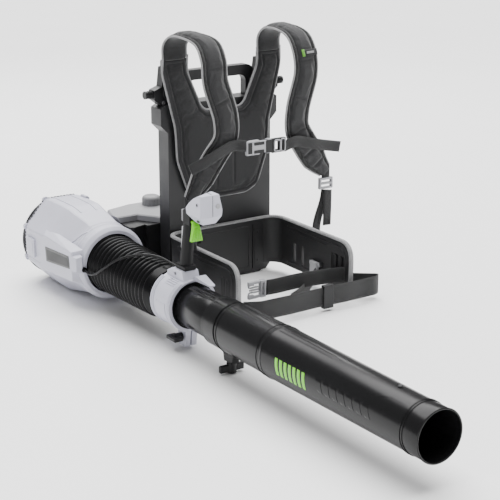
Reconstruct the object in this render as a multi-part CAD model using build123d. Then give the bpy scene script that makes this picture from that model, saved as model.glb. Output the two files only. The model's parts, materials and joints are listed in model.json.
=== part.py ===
from build123d import *
import os
from math import cos, pi, radians, sin, tan

# Backpack leaf blower, millimetres. +Z is up, the wearer faces -Y, the wearer's right is -X.
# The origin is on the ground under the middle of the back frame.

# Back frame: an open-backed moulded tray
FRAME_HALF_W = 155
FRAME_HALF_D = 25
FRAME_TOP = 478
FRAME_SHOULDER_HALF_W = 175
FRAME_SHOULDER_Z = (407, 427)
FRAME_WALL = 5
RIB = 4
HANDLE_TOP = 558
HANDLE_HALF_W = 112
HANDLE_BAR = 26
DOCK_BOLT_X = 220
DOCK_BOLT_Z = 110
DOCK_BOLT_MID_Z = 90
DOCK_BOLT_R = 3.25
SHELF_HOLES_X = (-55, 115)
LATCH_AT = (-108, 152)
LATCH_R = 25

# Back pad: a wide body under two limbs that carry the shoulder straps
PAD_T = 24
PAD_LIMB_X = (106, 176)
PAD_LIMB_TOP = 596

# Blower: everything round turns about one line parallel to Y
BLOW_X = -340
BLOW_Z = 109
HOUSING_REAR = 261
HOUSING_FRONT = -54
HOUSING_WALL = 3
HOUSING_R = 114
HOUSING_SPLIT = 76
FACETS = 8
FACET_APOTHEM = 106
FACET_LIFT = 6
FAN_TIP_R = 88
FAN_Y = (122, 168)
DUCT_R = 91
POD_R = 34
BEARING_Y = (42, 101)
SHAFT_R = 4
HOUSING_OUTLINE = [(82, 261), (104, 243), (HOUSING_R - 1, 200), (HOUSING_R, 100), (106, 60), (95, 0), (91, -30), (88, -54)]

# Bellows: a corrugated hose in three lengths, bent by two joints
BELLOWS_CUTS = (-54, -170, -200, -316)
BELLOWS_R = (73, 66)
BELLOWS_PITCH = 14.5
BELLOWS_RIDGE = 5
BELLOWS_WALL = 2.5
CUFF_END = -348

# Tubes
INNER_R = 50
INNER_WALL = 2.2
INNER_END = -745
OUTER_START = -563
OUTER_R = 55.75
OUTER_GAP = 0.4
GROOVE_Y = -617
SEAM_Y = -788
SPIGOT_END = -816
SPIGOT_R = 53.6
OUTLET_Y = -1283
OUTLET_R = 50
OUTLET_LAND = 45
TIP_LAND = 42
NOZZLE_R = (57.2, 52.8)
NOZZLE_GAP = 0.35

# Handle clamp
CLAMP_Y = (-355, -442)
LINER_R = (50.4, 52)
CLAMP_R = (52.05, 61)
LUG_Y = (-430, -402)
LUG_BOTTOM = 8
CLAMP_BOLT_R = 4
CLAMP_BOLT_Z = 30
BORE_GAP = 0.08

# Handle
GRIP_AXIS = [(-340, -412, 186), (-337, -417, 246), (-333, -423, 306)]
GRIP_HALF = (14, 17)
HEAD_X = (-354, -297)
HEAD_MID_X = -328
TRIGGER_PIVOT = (-448, 314)
LEVER_PIVOT = (-436, 344)
TURBO_Z = 350
BUTTON_R = 7

# Hip belt
ARM_X = 168
ARM_T = 9
ARM_FRONT = -364
ARM_Z = (22, 146)
ARM_CORNER = 46
TRIM_T = 5
ARM_BACK = -34
ARM_BEND = 40
LUMBAR_HALF_W = 126
WEB_T = 2.4
HIP_WEB_Z = (12, 62)

# Shoulder straps and chest strap
STRAP_W = 72
STRAP_T = 15
CHEST_Y = -220
CHEST_W = 28
CABLE_R = 2.6


def place(axis, at, a, b):
    return {"x": (at, a, b), "y": (a, at, b), "z": (a, b, at)}[axis]


def slab(axis, low, high, points, radii=0.0):
    """A closed outline extruded along one axis; points hold the two other coordinates in X, Y, Z order."""
    corners = [place(axis, low, a, b) for a, b in points]
    path = FilletPolyline(*corners, radius=radii, close=True) if radii else Polyline(*corners, close=True)
    away = {"x": (1, 0, 0), "y": (0, 1, 0), "z": (0, 0, 1)}[axis]
    return extrude(make_face(path), amount=high - low, dir=away)


def block(x, y, z, r=0.0):
    body = Pos(sum(x) / 2, sum(y) / 2, sum(z) / 2) * Box(abs(x[1] - x[0]), abs(y[1] - y[0]), abs(z[1] - z[0]))
    return fillet(body.edges(), r) if r else body


def rod(axis, centre, low, high, r):
    """A cylinder along one axis; centre holds the two other coordinates."""
    turn = {"x": Rot(0, 90, 0), "y": Rot(90, 0, 0), "z": Rot(0, 0, 0)}[axis]
    return Pos(*place(axis, (low + high) / 2, *centre)) * turn * Cylinder(r, abs(high - low))


def tube(low, high, r_in, r_out, x=BLOW_X, z=BLOW_Z):
    return rod("y", (x, z), low, high, r_out) - rod("y", (x, z), low - 1, high + 1, r_in)


def turned(profile):
    """A closed profile of (radius, y) turned about the blower's line."""
    points = [(BLOW_X + r, y, BLOW_Z) for r, y in profile]
    face = make_face(Polyline(*points, close=True))
    return revolve(face, Axis((BLOW_X, 0, BLOW_Z), (0, 1, 0)), 360)


def mirror_x(shape):
    return mirror(shape, about=Plane.YZ)


def sheet(points, centre_plane, width, thickness, radius=0.0):
    """Webbing: a strip of one width swept along a flat route; points hold the route's two coordinates."""
    axis, at = centre_plane
    route_points = [place(axis, at, a, b) for a, b in points]
    route = FilletPolyline(*route_points, radius=radius) if radius else Polyline(*route_points)
    across = {"x": (1, 0, 0), "y": (0, 1, 0), "z": (0, 0, 1)}[axis]
    start = Plane(route @ 0, x_dir=across, z_dir=route % 0)
    return sweep(start * Rectangle(width, thickness), path=route, transition=Transition.RIGHT)


def strap(points, widths, thickness, wide=(1, 0, 0)):
    """A flat strap: rectangles lofted through a route in space, their width lying along wide."""
    sections = []
    for i, point in enumerate(points):
        before = Vector(*points[max(i - 1, 0)])
        after = Vector(*points[min(i + 1, len(points) - 1)])
        along = (after - before).normalized()
        across = (Vector(*wide) - along * along.dot(Vector(*wide))).normalized()
        sections.append(Plane(point, x_dir=across, z_dir=along) * Rectangle(widths[i], thickness))
    return loft(sections, ruled=True)


def cord_radii(points):
    """Arc radii for a cord's route: 0.45 of the shorter run beside each corner, over the tangent of half the turn."""
    radii = []
    for a, b, c in zip(points, points[1:], points[2:]):
        first = Vector(*b) - Vector(*a)
        second = Vector(*c) - Vector(*b)
        turn = radians(first.get_angle(second))
        radii.append(0.45 * min(first.length, second.length) / tan(turn / 2))
    return radii


# ---------------------------------------------------------------- back frame

def frame_outline(inset=0.0):
    w = FRAME_HALF_W - inset
    s = FRAME_SHOULDER_HALF_W - inset
    low, high = FRAME_SHOULDER_Z
    top = FRAME_TOP - inset
    right = [(w - 12, inset), (w, 14 + inset), (w, low), (s, high), (s, top - 8), (s - 14, top)]
    return right + [(-x, z) for x, z in reversed(right)]


def back_frame():
    shell = slab("y", -FRAME_HALF_D, FRAME_HALF_D, frame_outline())
    shell = shell - slab("y", FRAME_WALL - FRAME_HALF_D, FRAME_HALF_D + 1, frame_outline(FRAME_WALL))
    cavity_front = FRAME_WALL - FRAME_HALF_D
    for x in (-95, 0, 95):
        shell = shell + block((x - RIB / 2, x + RIB / 2), (cavity_front - 1, cavity_front + 9), (3, FRAME_TOP - 3))
    for z in (28, 120, 235, 350, 440):
        rib = block((-FRAME_HALF_W + 3, FRAME_HALF_W - 3), (cavity_front - 1, cavity_front + 7), (z - RIB / 2, z + RIB / 2))
        shell = shell + rib
    for x, z in dock_bolts():
        shell = shell + rod("y", (x, z), cavity_front - 1, FRAME_HALF_D, 8)
        shell = shell - rod("y", (x, z), cavity_front + 5, FRAME_HALF_D + 1, 2.5)
    return shell


def dock_bolts():
    return [(sx * DOCK_BOLT_X / 2, DOCK_BOLT_MID_Z + sz * DOCK_BOLT_Z / 2) for sx in (-1, 1) for sz in (-1, 1)]


def yoke_handle():
    """One moulding on top of the frame: a carry handle between two forked strap brackets."""
    return carry_bar() + strap_fork() + mirror_x(strap_fork())


def carry_bar():
    half = HANDLE_HALF_W
    inside = half - HANDLE_BAR
    outer = block((-half, half), (-12, 12), (FRAME_TOP, HANDLE_TOP))
    outer = fillet(outer.edges().filter_by(Axis.Y).group_by(Axis.Z)[-1], 24)
    hole = block((-inside, inside), (-20, 20), (FRAME_TOP - 1, HANDLE_TOP - HANDLE_BAR))
    hole = fillet(hole.edges().filter_by(Axis.Y).group_by(Axis.Z)[-1], 16)
    return outer - hole


def strap_fork():
    """A bracket beside the shoulder with a peg that the strap's top loop hangs on."""
    arm = [(100, FRAME_TOP), (168, FRAME_TOP), (186, 492), (186, 516), (164, 524), (158, 572), (126, 572), (121, 540)]
    fork = slab("y", -14, 14, arm, 3)
    fork = fork - rod("y", (142, 508), -20, 20, 9)
    peg = rod("x", (0, 505), 184, 204, 8) + rod("x", (0, 505), 201, 207, 10)
    return fork + peg


# ---------------------------------------------------------------- pad, straps

def pad_outline():
    inner, outer = PAD_LIMB_X
    half = [
        (0, 226), (70, 228), (104, 246), (120, 290), (136, 335), (140, 419), (160, 497), (outer, 560),
        (outer, PAD_LIMB_TOP), (inner, PAD_LIMB_TOP), (inner, 560), (66, 470), (52, 458),
    ]
    return half + [(-x, z) for x, z in reversed(half[1:])]


def back_pad():
    body = slab("y", -FRAME_HALF_D - PAD_T, -FRAME_HALF_D - 0.4, pad_outline())
    return chamfer(body.faces().sort_by(Axis.Y)[0].edges(), 6)


def strap_route(side):
    """Centre line of a padded shoulder strap, from the pad's limb over the shoulder to its lower end."""
    back_x, crest_x, front_x, chest_x = (-141, -136, -125, -98) if side < 0 else (138, 139, 141, 115)
    lower = [(-126, -198, 375), (-170, -190, 306), (-192, -186, 272)]
    if side > 0:
        lower = [(136, -200, 385), (186, -190, 324), (220, -184, 292)]
    top = [
        (back_x, -38, PAD_LIMB_TOP + 0.6), (back_x, -39, 632), (crest_x, -58, 655), (crest_x, -112, 662),
        (front_x, -168, 648), (front_x, -196, 610), (front_x, -203, 560), (chest_x, -206, 470), (chest_x, -204, 420),
    ]
    return top + lower


def shoulder_pad(side):
    route = strap_route(side)
    widths = [STRAP_W - 2] + [STRAP_W] * (len(route) - 3) + [60, 40]
    return strap(route, widths, STRAP_T)


def ladder_lock(side):
    """A three-bar slider under the strap's lower end."""
    x, y, z = strap_route(side)[-1]
    body = block((x - 21, x + 21), (y - 5, y + 5), (z - 46, z - 16), 2)
    for low in (z - 41, z - 29):
        body = body - block((x - 16, x + 16), (y - 9, y + 9), (low, low + 7))
    return body


def shoulder_webbing(side):
    """Webbing from the slider down to the belt arm, with its loose end in front of it."""
    x, y, z = strap_route(side)[-1]
    lean = side * (ARM_X + 24)
    tight = [(x, y + 2, z - 49), (x - side * 5, y + 2, z - 78), (lean + side * 4, y + 3, 150), (lean, y + 3, 72)]
    loose = [(x + side * 2, y - 8, z - 49), (x + side * 1, y - 9, z - 84), (x - side * 1, y - 10, 150)]
    return [strap(tight, [25] * 4, WEB_T), strap(loose, [25] * 3, WEB_T)]


# ---------------------------------------------------------------- hip belt

def lumbar_plate():
    low, high = 2, ARM_Z[1]
    w = LUMBAR_HALF_W
    front = ARM_BACK - ARM_T / 2
    outline = [(12 - w, low), (w - 12, low), (w, low + 12), (w, high), (-w, high), (-w, low + 12)]
    body = slab("y", front, -FRAME_HALF_D - 0.3, outline)
    for x in (-90, 90):
        body = body - block((x - 2, x + 2), (front - 1, front + 3), (12, 134))
        for z in (34, 112):
            body = body - rod("y", (x + 16, z), front - 2, -FRAME_HALF_D, 3)
    return body


def arm_side(inset=0.0):
    """The arm's side outline in Y and Z: a long panel with a large round at its upper front corner."""
    front = ARM_FRONT + inset
    low, high = ARM_Z[0] + inset, ARM_Z[1] - inset
    rounds = [(front + ARM_CORNER * (1 - sin(a)), high - ARM_CORNER * (1 - cos(a)))
              for a in (radians(90 - 15 * i) for i in range(7))]
    return [(-70, low), (front + 20, low), (front, low + 20)] + rounds + [(-70, high)]


def hip_arm(side):
    """A flexible belt arm: it curves round from the lumbar plate and runs forward beside the hip."""
    plan = [(LUMBAR_HALF_W + 0.4, ARM_BACK), (ARM_X, ARM_BACK), (ARM_X, ARM_FRONT)]
    body = sheet(plan, ("z", sum(ARM_Z) / 2), ARM_Z[1] - ARM_Z[0], ARM_T, ARM_BEND)
    front_cut = slab("x", ARM_X - 20, ARM_X + 20, arm_side())
    back = block((LUMBAR_HALF_W, ARM_X + 20), (-70, 0), ARM_Z)
    body = body & (front_cut + back)
    inner = ARM_X - ARM_T / 2
    for y in (-130, -165):
        body = body - block((inner - 1, ARM_X + ARM_T), (y - 5, y + 5), (42, 92))
    body = body - block((inner - 1, inner + 3), (-345, -290), (50, 110))
    return body if side > 0 else mirror_x(body)


def hip_trim():
    """One length of edge piping: up a belt arm's front, back along its top, round the lumbar plate and out again."""
    high = ARM_Z[1] + TRIM_T / 2 + 0.2
    front = ARM_FRONT - TRIM_T / 2 - 0.2
    half = [(0.0, ARM_BACK, high), (ARM_X, ARM_BACK, high), (ARM_X, front, high), (ARM_X, front, 40)]
    path = FilletPolyline(*half, radius=[ARM_BEND, ARM_CORNER])
    start = Plane(path @ 0, x_dir=(0, 1, 0), z_dir=path % 0)
    body = sweep(start * Rectangle(ARM_T + 4, TRIM_T), path=path)
    return body + mirror_x(body)


def clip_place(side):
    return (-232, 52) if side > 0 else (-262, 68)


def belt_clip(side):
    """A cam lever on the inner face of the arm that grips the hip webbing."""
    y, z = clip_place(side)
    inner = ARM_X - ARM_T / 2 - 0.4
    lever = block((inner - 16, inner - 6), (y - 14, y + 14), (z - 24, z + 20), 2.5)
    barrel = rod("y", (inner - 6, z + 14), y - 16, y + 16, 5)
    body = lever + barrel
    body = body - rod("y", (inner - 6, z + 14), y - 20, y + 20, 2 + BORE_GAP)
    return body if side > 0 else mirror_x(body)


def belt_clip_pins():
    """Hinge pins of the two cam levers, each with a foot at both ends moulded against the arm."""
    pieces = []
    for side in (1, -1):
        y, z = clip_place(side)
        inner = ARM_X - ARM_T / 2
        pin = rod("y", (inner - 6.4, z + 14), y - 22, y + 22, 2)
        for end in (y - 22, y + 17):
            pin = pin + block((inner - 11, inner - 0.2), (end, end + 5), (z + 9, z + 19), 1)
        pieces.append(pin if side > 0 else mirror_x(pin))
    return Compound(pieces)


def hip_webbing_front():
    """The long belt strand across the front, round its free corner and back to the left arm's end."""
    plan = [(-158, -372), (-120, -391), (230, -391), (249, -378), (184, -330)]
    return sheet(plan, ("z", sum(HIP_WEB_Z) / 2), HIP_WEB_Z[1] - HIP_WEB_Z[0], WEB_T, 8)


def hip_webbing_upper():
    """The buckle strand, from the left arm's slot across to the open buckle."""
    plan = [(162, -348), (120, -330), (-58, -322)]
    return sheet(plan, ("z", 66), 40, WEB_T, 30)


def hip_webbing_diagonal():
    route = [(140, -256, 48), (84, -300, 38), (24, -350, 38), (-26, -382, 40)]
    return strap(route, [34, 38, 42, 42], WEB_T, (0, 0, 1))


def hip_buckle():
    """Male half of the belt's side-release buckle, two sprung prongs beside a guide tongue."""
    x0, x1 = -112, -62
    y = -322
    low, high = 44, 88
    body = block((x1 - 16, x1), (y - 6, y + 6), (low, high), 2)
    body = body - block((x1 - 12, x1 - 5), (y - 9, y + 9), (low + 6, high - 6))
    for z in (low + 4, high - 4):
        prong = block((x0 + 6, x1 - 14), (y - 3, y + 3), (z - 3, z + 3), 1)
        tip = block((x0, x0 + 16), (y - 4, y + 4), (z - 6, z + 4) if z > 60 else (z - 4, z + 6), 1.5)
        body = body + prong + tip
    body = body + block((x0 + 4, x1 - 14), (y - 2, y + 2), (64, 68), 0.8)
    return body


def strap_keeper():
    low, high = HIP_WEB_Z
    outer = block((62, 92), (-398, -384), (low - 5, high + 5), 2)
    return outer - block((60, 94), (-394, -388), (low - 1, high + 1))


# ---------------------------------------------------------------- chest strap

def chest_strap_left():
    route = [(-204, CHEST_Y + 8, 356), (-168, CHEST_Y, 372), (-88, CHEST_Y, 403), (-50, CHEST_Y, 398)]
    return chest_run(route)


def chest_strap_right():
    route = [(66, CHEST_Y, 384), (100, CHEST_Y, 392), (128, CHEST_Y, 386), (186, CHEST_Y, 372), (236, CHEST_Y, 362)]
    return chest_run(route)


def chest_run(route):
    """Webbing whose width stands upright, drawn in X and Z and given its thickness along Y."""
    half = CHEST_W / 2
    outline = [(x, z + half) for x, y, z in route] + [(x, z - half) for x, y, z in reversed(route)]
    return slab("y", CHEST_Y - WEB_T / 2, CHEST_Y + WEB_T / 2, outline)


def chest_buckle_female():
    y, z = CHEST_Y, 392
    body = block((-50, -34), (y - 5, y + 5), (z - 18, z + 18), 2)
    body = body - block((-46, -39), (y - 9, y + 9), (z - 14, z + 14))
    cage = block((-36, 22), (y - 7, y + 7), (z - 18, z + 18), 3)
    cage = cage - block((-30, 30), (y - 4, y + 4), (z - 13, z + 13))
    for sz in (-1, 1):
        cage = cage - block((-14, 10), (y - 9, y + 9), (z + sz * 20 - 6, z + sz * 20 + 6))
    return body + cage


def chest_buckle_male():
    y, z = CHEST_Y, 390
    body = block((24, 66), (y - 5, y + 5), (z - 18, z + 18), 2)
    body = body - block((50, 58), (y - 9, y + 9), (z - 14, z + 14))
    body = body - block((32, 46), (y - 9, y + 9), (z - 11, z + 11))
    for sz in (-1, 1):
        body = body + block((-12, 28), (y - 2.5, y + 2.5), (z + sz * 8 - 3, z + sz * 8 + 3), 1)
    return body


# ---------------------------------------------------------------- battery dock

def battery_dock():
    """A hollow black base behind the frame that carries the battery shelf and the blower's bracket."""
    outline = [(-190, 30), (150, 30), (150, 186), (-150, 186), (-190, 150)]
    inner = [(-185, 35), (145, 35), (145, 181), (-148, 181), (-185, 148)]
    body = slab("z", 4, 160, outline) - slab("z", 0, 155, inner)
    for x in (-95, 0, 95):
        body = body + block((x - 2, x + 2), (33, 183), (20, 157))
    for x, z in dock_bolts():
        body = body + rod("y", (x, z), FRAME_HALF_D + 0.2, 44, 9)
    for x, z in dock_bolts():
        body = body - rod("y", (x, z), FRAME_HALF_D - 1, 60, 3.2)
    return body


def dock_shelf():
    """Top plate with a raised rim: a rear land for the battery, a lower front pocket for its terminal."""
    outline = [(-255, 87), (-188, 87), (-150, 32), (150, 32), (150, 188), (-160, 188), (-232, 168)]
    body = slab("z", 160.2, 177, outline)
    body = chamfer(body.faces().sort_by(Axis.Z)[-1].edges(), 3)
    body = body - slab("z", 171, 180, [(-74, 103), (138, 103), (138, 176), (-74, 176)])
    body = body - slab("z", 169.6, 180, [(-74, 44), (138, 44), (138, 103), (-74, 103)])
    for x in SHELF_HOLES_X:
        body = body - rod("z", (x, 110), 150, 180, DOCK_BOLT_R)
    return body - rod("y", (BLOW_X, BLOW_Z), 0, 300, HOUSING_R + 1)


def dock_terminal():
    body = block((-30, 58), (60, 100), (169.8, 196), 4)
    for i in range(4):
        x = -16 + 20 * i
        body = body - block((x, x + 6), (66, 94), (184, 197))
    return body


def dock_latch():
    """Ribbed latch drum at the shelf's outer corner; it turns to lock the battery."""
    x, y = LATCH_AT
    body = rod("z", (x, y), 177.4, 202, LATCH_R)
    body = fillet(body.edges().group_by(Axis.Z)[-1], 10)
    for i in range(14):
        a = 2 * pi * i / 14
        body = body - rod("z", (x + (LATCH_R + 1.5) * cos(a), y + (LATCH_R + 1.5) * sin(a)), 178, 193, 2.6)
    return body


def dock_feet():
    spots = [(-160, 60), (-130, 165), (130, 60), (130, 165)]
    return Compound([rod("z", spot, 0, 3.9, 10) for spot in spots])


def blower_bracket():
    """Faceted arm that carries the motor housing from the side of the dock."""
    outline = [(-190.3, 42), (-190.3, 148), (-236, 160), (-262, 160), (-262, 50), (-228, 30)]
    body = slab("z", 62, 160, outline)
    low = body.faces().sort_by(Axis.Z)[0].edges()
    body = chamfer(low, 10)
    return body - rod("y", (BLOW_X, BLOW_Z), 0, 300, HOUSING_R + 0.6)


# ---------------------------------------------------------------- motor housing

def housing_solid(inset=0.0, apothem=FACET_APOTHEM):
    profile = [(0, HOUSING_REAR), *[(r - inset, y) for r, y in HOUSING_OUTLINE], (0, HOUSING_FRONT)]
    body = turned(profile)
    corner_r = (apothem - inset) / cos(pi / FACETS)
    corners = []
    for i in range(FACETS):
        a = 2 * pi * (i + 0.5) / FACETS
        lift = FACET_LIFT if sin(a) > 0 else 0
        corners.append((BLOW_X + corner_r * cos(a), BLOW_Z + corner_r * sin(a) + lift))
    return body & slab("y", HOUSING_FRONT - 1, HOUSING_REAR + 1, corners)


def housing_half(upper):
    shell = housing_solid() - housing_solid(HOUSING_WALL)
    low, high = (HOUSING_SPLIT, 260) if upper else (-20, HOUSING_SPLIT)
    cut = block((-480, -200), (-80, 238), (low, high))
    half = shell & cut
    if upper:
        return half
    keel = slab("x", BLOW_X - 15, BLOW_X + 15, [(56, 0), (190, 0), (206, 16), (40, 16)])
    return half + (keel - housing_solid(0.5))


def intake_grille():
    """Round rear grille: a rim, two rings and radial bars, set in the housing's open back."""
    body = housing_solid() & block((-480, -200), (238.2, 262), (-20, 260))
    body = body - rod("y", (BLOW_X, BLOW_Z), 230, 256, 84)
    slots = []
    for ring, count in ((66, 20), (46, 14), (27, 8)):
        for i in range(count):
            a = 360 * i / count
            slot = Pos(BLOW_X, 258, BLOW_Z) * Rot(0, a, 0) * Pos(ring, 0, 0) * Box(15, 12, 6.5)
            slots.append(slot)
    return body - slots


def housing_front_ring():
    """Stepped collar round the hose's root, with two raised beads."""
    profile = [(75, -54.2), (75, -66), (84, -66), (90, -60), (92.6, -56), (92.6, -48), (89.2, -48), (89.2, -54.2)]
    return turned(profile)


def fan_duct():
    """Fixed duct: outer ring, guide vanes and the motor's centre pod."""
    ring = tube(38, 178, DUCT_R, DUCT_R + 3)
    pod = rod("y", (BLOW_X, BLOW_Z), 24, 112, POD_R)
    pod = fillet(pod.edges().group_by(Axis.Y)[0], 14) - rod("y", (BLOW_X, BLOW_Z), 34, 113, POD_R - 3)
    pod = pod - rod("y", (BLOW_X, BLOW_Z), 20, 40, SHAFT_R + 0.5)
    vanes = []
    for i in range(7):
        vane = Pos(BLOW_X, 66, BLOW_Z) * Rot(0, 360 * i / 7, 0) * Pos((POD_R + DUCT_R) / 2, 0, 0) * Rot(0, 0, 0)
        vanes.append(vane * Box(DUCT_R - POD_R + 3, 60, 3))
    seats = [tube(y, y + 7, 11.02, POD_R - 2) for y in BEARING_Y]
    return ring + pod + vanes + seats


def fan_rotor():
    """Axial fan: a domed hub with twisted blades, bored for the shaft."""
    low, high = FAN_Y
    hub = rod("y", (BLOW_X, BLOW_Z), low, high, POD_R - 2)
    hub = fillet(hub.edges().group_by(Axis.Y)[-1], 12)
    blades = []
    for i in range(9):
        blade = Pos(BLOW_X, (low + high) / 2, BLOW_Z) * Rot(0, 360 * i / 9, 0) * Pos((POD_R + FAN_TIP_R) / 2 - 2, 0, 0)
        blades.append(blade * Rot(38, 0, 0) * Box(FAN_TIP_R - POD_R + 4, 38, 2.6))
    body = hub + blades
    return (body & tube(low - 10, high + 10, 0.5, FAN_TIP_R)) - rod("y", (BLOW_X, BLOW_Z), low - 9, high - 8, SHAFT_R)


def motor_shaft():
    return rod("y", (BLOW_X, BLOW_Z), 37, FAN_Y[1] - 8, SHAFT_R)


def motor_stator():
    body = tube(56, 92, 17, POD_R - 3.1)
    for i in range(9):
        slot = Pos(BLOW_X, 74, BLOW_Z) * Rot(0, 40 * i, 0) * Pos(23.5, 0, 0)
        body = body - slot * Box(10, 40, 4)
    return body


def motor_bearings():
    pieces = [tube(y, y + 7, SHAFT_R + 0.02, 10.95) for y in BEARING_Y]
    return Compound(pieces)


def cable_grommet():
    return rod("y", (-424, 108), -72, -66.1, 6.5)


# ---------------------------------------------------------------- hose and tubes

def bellows_radius(y):
    first, last = BELLOWS_CUTS[0], BELLOWS_CUTS[3]
    share = (first - y) / (first - last)
    return BELLOWS_R[0] + (BELLOWS_R[1] - BELLOWS_R[0]) * min(max(share, 0), 1)


def bellows(start, end, cuff=False):
    """A corrugated length: evenly spaced V ridges over a thin wall."""
    count = round((start - end) / BELLOWS_PITCH)
    pitch = (start - end) / count
    outer = []
    for i in range(count):
        y = start - i * pitch
        crest = y - pitch / 2
        outer.append((bellows_radius(y) - BELLOWS_RIDGE, y))
        outer.append((bellows_radius(crest), crest + pitch * 0.16))
        outer.append((bellows_radius(crest), crest - pitch * 0.16))
    outer.append((bellows_radius(end) - BELLOWS_RIDGE, end))
    inner = [(r - BELLOWS_WALL, y) for r, y in reversed(outer)]
    body = turned(outer + inner)
    if cuff:
        body = body + tube(CUFF_END, end + 2, INNER_R + 0.1, 60)
        body = body + tube(end, end + 3, 54, bellows_radius(end) - BELLOWS_RIDGE)
    return body


def inner_tube():
    return tube(INNER_END, -300, INNER_R - INNER_WALL, INNER_R)


def outer_tube():
    """Telescopic tube: a thick collar, a locking groove and a stepped spigot at its far end."""
    bore = INNER_R + OUTER_GAP
    profile = [(bore, OUTER_START), (54.2, OUTER_START), (OUTER_R, OUTER_START - 3), (OUTER_R, GROOVE_Y + 4),
               (OUTER_R - 2, GROOVE_Y + 4), (OUTER_R - 2, GROOVE_Y - 4), (OUTER_R + 0.7, GROOVE_Y - 4),
               (OUTER_R + 0.7, SEAM_Y), (SPIGOT_R, SEAM_Y), (SPIGOT_R, SPIGOT_END), (bore, SPIGOT_END)]
    body = turned(profile)
    neck = slab("x", BLOW_X - 9, BLOW_X + 9, [(-585, 26), (-617, 26), (-624, 58), (-578, 58)])
    body = body + (neck - rod("y", (BLOW_X, BLOW_Z), -700, -500, OUTER_R - 1.5))
    rail = slab("x", BLOW_X - 5, BLOW_X + 5, [(-622, 46), (-770, 46), (-780, 56), (-622, 56)])
    body = body + (rail - rod("y", (BLOW_X, BLOW_Z), -800, -500, OUTER_R - 1))
    return body - rod("z", (BLOW_X, -601), 0, 49, 3 + BORE_GAP)


def collar_knob():
    """Wing knob on a screw under the collar; turning it frees the telescopic tube."""
    stem = rod("z", (BLOW_X, -601), 8, 48, 3)
    hub = rod("z", (BLOW_X, -601), 2, 24, 11)
    wings = block((BLOW_X - 31, BLOW_X + 31), (-606, -596), (4, 21), 3)
    return stem + hub + wings


def nozzle():
    """Tapered outlet tube with a straight land at its mouth and a step band before it."""
    skin = 2.8
    wide, narrow = NOZZLE_R
    socket = SPIGOT_R + NOZZLE_GAP
    outer = [(wide, SEAM_Y - 0.4), (wide, SEAM_Y - 40), (narrow + 1.6, -1180), (narrow + 0.6, -1186), (narrow, OUTLET_Y + TIP_LAND), (narrow, OUTLET_Y)]
    inner = [(OUTLET_R, OUTLET_Y), (OUTLET_R, OUTLET_Y + OUTLET_LAND), (OUTER_R - 4.5, SPIGOT_END - 1),
             (socket, SPIGOT_END - 1), (socket, SEAM_Y - 0.4)]
    body = turned(outer + inner)
    return body - rod("z", (BLOW_X, -1166), BLOW_Z, BLOW_Z + 70, 3.5)


# ---------------------------------------------------------------- clamp and handle

def clamp_liner():
    low, high = CLAMP_Y[1], CLAMP_Y[0]
    body = tube(low - 2.5, high + 2.5, *LINER_R)
    return body + tube(low - 2.5, low, LINER_R[0], 55) + tube(high, high + 2.5, LINER_R[0], 55)


def clamp_ring():
    """Tube clamp: a band, a ribbed saddle for the handle and two lugs closed by a bolt."""
    low, high = CLAMP_Y[1], CLAMP_Y[0]
    band = rod("y", (BLOW_X, BLOW_Z), low + 0.3, high - 0.3, CLAMP_R[1])
    band = chamfer(band.edges(), 2.5)
    saddle = slab("x", BLOW_X - 21, BLOW_X + 21, [(-362, 150), (-366, 178), (-386, 188), (-430, 188), (-441.5, 160), (-441.5, 130)])
    tail = slab("x", BLOW_X + 6, BLOW_X + 34, [(-400, 160), (-442, 176), (-500, 172), (-500, 166), (-442, 155)])
    lugs = slab("x", BLOW_X - 15, BLOW_X + 15, [(LUG_Y[0], LUG_BOTTOM), (LUG_Y[1], LUG_BOTTOM), (LUG_Y[1] + 6, 60), (LUG_Y[0] - 6, 60)])
    body = band + saddle + tail + lugs
    for z, r in ((160, 3), (176, 3)):
        body = body - rod("x", (-396, z + 2), BLOW_X - 30, BLOW_X - 14, r)
    body = body - rod("y", (BLOW_X, BLOW_Z), low - 80, high + 20, CLAMP_R[0])
    body = body - rod("y", (BLOW_X, BLOW_Z), low - 80, low + 0.3, 57)
    body = body - block((BLOW_X - 2, BLOW_X + 2), (low - 1, high + 1), (0, 62))
    centre_y = sum(LUG_Y) / 2
    body = body - rod("x", (centre_y, CLAMP_BOLT_Z), BLOW_X - 40, BLOW_X + 40, CLAMP_BOLT_R + BORE_GAP)
    return body - rod("y", (BLOW_X, 182), -380, -355, CABLE_R + 0.3)


def clamp_knob():
    """Wing knob with its bolt through the clamp's lugs and a nut on the far side."""
    y, z = sum(LUG_Y) / 2, CLAMP_BOLT_Z
    bolt = rod("x", (y, z), BLOW_X - 30, BLOW_X + 20, CLAMP_BOLT_R)
    hub = rod("x", (y, z), BLOW_X - 38, BLOW_X - 16, 10)
    wings = block((BLOW_X - 46, BLOW_X - 22), (y - 20, y + 20), (z - 5, z + 5), 3)
    return bolt + hub + wings


def clamp_nut():
    y, z = sum(LUG_Y) / 2, CLAMP_BOLT_Z
    nut = Pos(BLOW_X + 20, y, z) * Rot(0, 90, 0) * extrude(RegularPolygon(8, 6), amount=4, both=True)
    return nut - rod("x", (y, z), BLOW_X, BLOW_X + 40, CLAMP_BOLT_R + 0.03)


def grip():
    """Upright rubber-faced grip, an oval lofted along a slightly raked line."""
    a, b = GRIP_HALF
    scale = (1.12, 0.94, 1.0)
    sections = [Plane(centre) * Ellipse(a * s, b * s) for centre, s in zip(GRIP_AXIS, scale)]
    body = loft(sections) + block((BLOW_X - 18, BLOW_X + 18), (-434, -390), (188.2, 200), 3)
    return body - block((BLOW_X - 60, BLOW_X + 60), (-520, -300), (150, 188.2)) - grip_strip(0.1)


def grip_strip(gap=0.0):
    """Light-coloured stripe let into the back of the grip."""
    half = 5 + gap
    x = GRIP_AXIS[1][0]
    points = [(-402 - gap, 204 - gap), (-392 + gap, 204 - gap), (-401 + gap, 296 + gap), (-411 - gap, 296 + gap)]
    return slab("x", x - half, x + half, points)


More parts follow.
